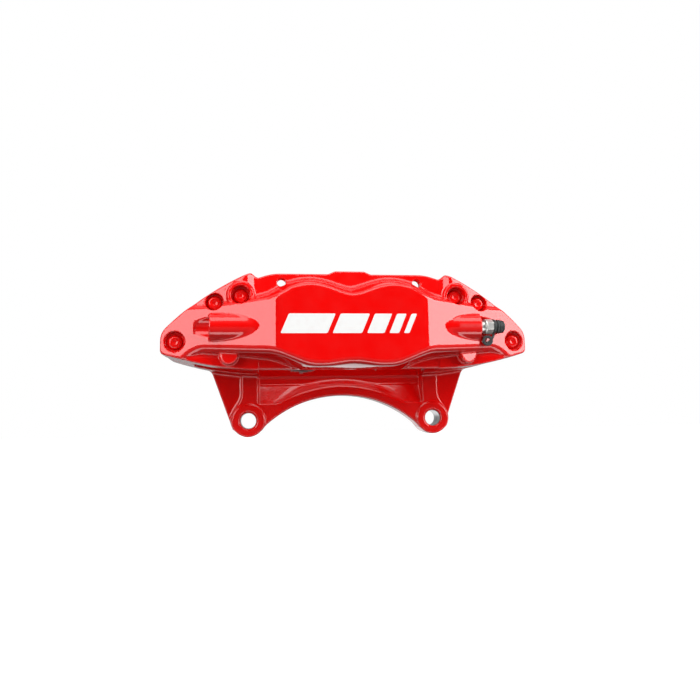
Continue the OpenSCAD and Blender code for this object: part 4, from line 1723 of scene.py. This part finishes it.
@dataclass
class Hardware:
    """Small pieces that keep the frame's own shape and get a better finish."""

    nodes: dict[str, bpy.types.Object]

    def finish(self, word: str, material: bpy.types.Material) -> None:
        """Gives a finish to every node whose name holds a word.

        Args:
            word: the word.
            material: the finish.
        """
        found = [piece for name, piece in self.nodes.items() if word in name]
        for piece in found:
            piece.data.materials.clear()
            piece.data.materials.append(material)
        LOG.info("%s: %d kept", word, len(found))

    def dress(self, sheet: bpy.types.Material, steel: bpy.types.Material,
              rubber: bpy.types.Material) -> None:
        """Dresses the abutment plates, their screws and the seals.

        Args:
            sheet: finish of the plates.
            steel: finish of their screws.
            rubber: finish of the seals.
        """
        self.finish("abutment_plate", sheet)
        self.finish("abutment_screw", steel)
        self.finish("_seal", rubber)


# ---------------------------------------------------------------- studio

@dataclass
class Studio:
    """Camera, lights, white surroundings and floor."""

    target: tuple[float, float, float] = (0.0, -0.045, 0.060)
    distance: float = 0.5
    azimuth: float = 7.41
    looking_up: float = 6.69
    roll: float = -1.04
    lens: float = 32.57
    shift: tuple[float, float] = (0.0074, -0.0104)
    floor_z: float = -0.11
    floor_reach: float = 4000.0
    dim: float = 0.03
    front_glow: float = 3.2
    back_glow: float = 1.3
    far_glow: float = 0.4
    box: tuple[float, float] = (0.96, 1.15)

    def camera(self) -> None:
        """Places the camera to the left of the caliper and a little below it."""
        turn, up = np.radians(self.azimuth), np.radians(self.looking_up)
        ahead = Vector((np.sin(turn) * np.cos(up), np.cos(turn) * np.cos(up), np.sin(up)))
        across = Vector((np.cos(turn), -np.sin(turn), 0.0))
        above = across.cross(ahead)
        roll = np.radians(self.roll)
        right = np.cos(roll) * across + np.sin(roll) * above
        top = np.cos(roll) * above - np.sin(roll) * across
        data = bpy.data.cameras.new("camera")
        data.lens = self.lens
        data.sensor_width = 36.0
        data.shift_x, data.shift_y = self.shift
        data.clip_start = 0.01
        data.dof.use_dof = False
        camera = bpy.data.objects.new("camera", data)
        place = Vector(self.target) - self.distance * ahead
        turned_axes = Matrix((right, top, -ahead)).transposed()
        camera.matrix_world = Matrix.Translation(place) @ turned_axes.to_4x4()
        bpy.context.scene.collection.objects.link(camera)
        bpy.context.scene.camera = camera

    def softbox(self, name: str, place: Sequence[float], size: tuple[float, float],
                brightness: float) -> None:
        """A rectangular light that faces the caliper and looks equally bright from everywhere.

        Args:
            name: the light's name.
            place: its middle, in metres.
            size: its width and height, in metres.
            brightness: its radiance; its power is this times pi times its area.
        """
        data = bpy.data.lights.new(name, "AREA")
        data.shape = "RECTANGLE"
        data.size, data.size_y = size
        data.energy = brightness * np.pi * size[0] * size[1]
        light = bpy.data.objects.new(name, data)
        light.location = place
        aim = Vector(self.target) - Vector(place)
        light.rotation_euler = aim.to_track_quat("-Z", "Y").to_euler()
        bpy.context.scene.collection.objects.link(light)

    def surroundings(self) -> None:
        """White sweep behind the caliper and a dim studio in front, with white shown to the eye."""
        world = bpy.data.worlds.new("surroundings")
        bpy.context.scene.world = world
        world.use_nodes = True
        kit = Nodes(world.node_tree)
        path = kit.add("ShaderNodeLightPath")
        way = kit.add("ShaderNodeSeparateXYZ")
        kit.put(way, 0, kit.add("ShaderNodeTexCoord").outputs["Generated"])
        behind = kit.spread(way.outputs[1], 0.0, 0.75, 0.04, 0.40)
        above = kit.spread(way.outputs[2], 0.35, 0.9, 0.0, 0.45)
        seen = kit.maths("ADD", behind, above)
        lit = kit.mix_value(path.outputs["Is Glossy Ray"], 0.16, seen)
        ground = kit.add("ShaderNodeBackground")
        kit.put(ground, "Color", colour(1.0, 1.0, 1.0))
        kit.put(ground, "Strength", kit.mix_value(path.outputs["Is Camera Ray"], lit, 1.0))
        leave = kit.add("ShaderNodeOutputWorld")
        kit.put(leave, "Surface", ground.outputs[0])

    def floor(self) -> None:
        """Pale floor, white to the eye and dim to what stands over it. Only in reflections does it
        show two glowing strips, one in front of the caliper and one behind it."""
        reach = self.floor_reach
        corners = np.array([(-reach, -reach), (reach, -reach), (reach, reach), (-reach, reach)])
        points = np.column_stack([corners, np.full(4, self.floor_z / MM)])
        floor = new_piece("floor", points, np.array([[0, 1, 2, 3]]))
        material, kit, shader = start_material("floor_white")
        path = kit.add("ShaderNodeLightPath")
        apart = kit.add("ShaderNodeSeparateXYZ")
        kit.put(apart, 0, kit.place())
        depth = apart.outputs[1]
        near = kit.spread(depth, -0.23, -0.21, self.dim, self.front_glow)
        near = kit.maths("MINIMUM", near, kit.spread(depth, -0.15, -0.13, self.front_glow, self.dim))
        far = kit.spread(depth, 0.0, 0.12, self.dim, self.back_glow)
        far = kit.maths("MINIMUM", far, kit.spread(depth, 0.4, 0.8, self.back_glow, self.far_glow))
        sweep = kit.maths("MAXIMUM", near, far)
        dim = kit.mix_value(path.outputs["Is Glossy Ray"], 0.05, sweep)
        kit.put(shader, "Base Color", kit.blend(path.outputs["Is Camera Ray"], colour(0.12, 0.12, 0.12),
                                                colour(0.9, 0.9, 0.9)))
        kit.put(shader, "Roughness", 0.9)
        kit.put(shader, "Emission Color", colour(1.0, 1.0, 1.0))
        kit.put(shader, "Emission Strength", kit.mix_value(path.outputs["Is Camera Ray"], dim, 1.0))
        floor.data.materials.append(material)

    def build(self) -> None:
        """Sets up the studio."""
        self.camera()
        self.surroundings()
        self.floor()
        self.softbox("left_box", (-1.10, -1.06, 0.58), self.box, 4.5)
        self.softbox("right_box", (1.27, -0.84, 0.58), self.box, 6.8)
        self.softbox("top_box", (0.0, -0.55, 1.05), (1.3, 0.7), 2.6)
        view = bpy.context.scene.view_settings
        view.view_transform = "Standard"
        view.look = "None"


def main() -> None:
    """Builds the caliper round its frame."""
    logging.basicConfig(level=logging.INFO, format="%(name)s: %(message)s")
    shared = Finishes(fine_dust_group(), turning_group())
    Studio().build()
    paint = GlossPaint().build("caliper_paint", shared)
    zinc = TurnedMetal(colour(0.86, 0.85, 0.83), colour(0.52, 0.50, 0.46), 0.32).build("zinc_plate", shared)
    oxide = TurnedMetal(colour(0.20, 0.20, 0.21), colour(0.09, 0.09, 0.095), 0.34).build("bolt_steel", shared)
    alloy = TurnedMetal(colour(0.62, 0.61, 0.58), colour(0.45, 0.44, 0.41), 0.20,
                        5600.0).build("piston_alloy", shared)
    sheet = TurnedMetal(colour(0.66, 0.66, 0.67), colour(0.48, 0.48, 0.49), 0.26,
                        900.0).build("stainless_sheet", shared)
    rubber = MouldedRubber().build("black_rubber", shared)
    castings = Castings()
    castings.dress(paint)
    form = castings.outboard
    for end in End:
        for place, (x, z), seat, recess in zip(("inner", "outer", "tip"), form.bolts,
                                               castings.head_seats, castings.recesses):
            BridgeBolt(end, place, x, z, seat[1], recess[1]).build(oxide, paint)
    bleed_w, bleed_z, _ = form.bleed
    for side, eye_w in zip(Side, (44.0, 43.1)):
        fitting = BleedFitting(side, eye_w, form.bleed_ends[1], bleed_w, bleed_z)
        fitting.screw(zinc)
        fitting.cap(rubber)
        for end, radius in zip(End, (22.0, 20.0)):
            cylinder = Cylinder(side, end, radius, form.cylinder_x, form.cylinder_z, form.wall)
            cylinder.build(alloy, rubber)
    Artwork(form.front).build(PrintedWhite().build("printed_white", shared))
    Hardware(frame["nodes"]).dress(sheet, zinc, rubber)


if __name__ == "__main__":
    main()
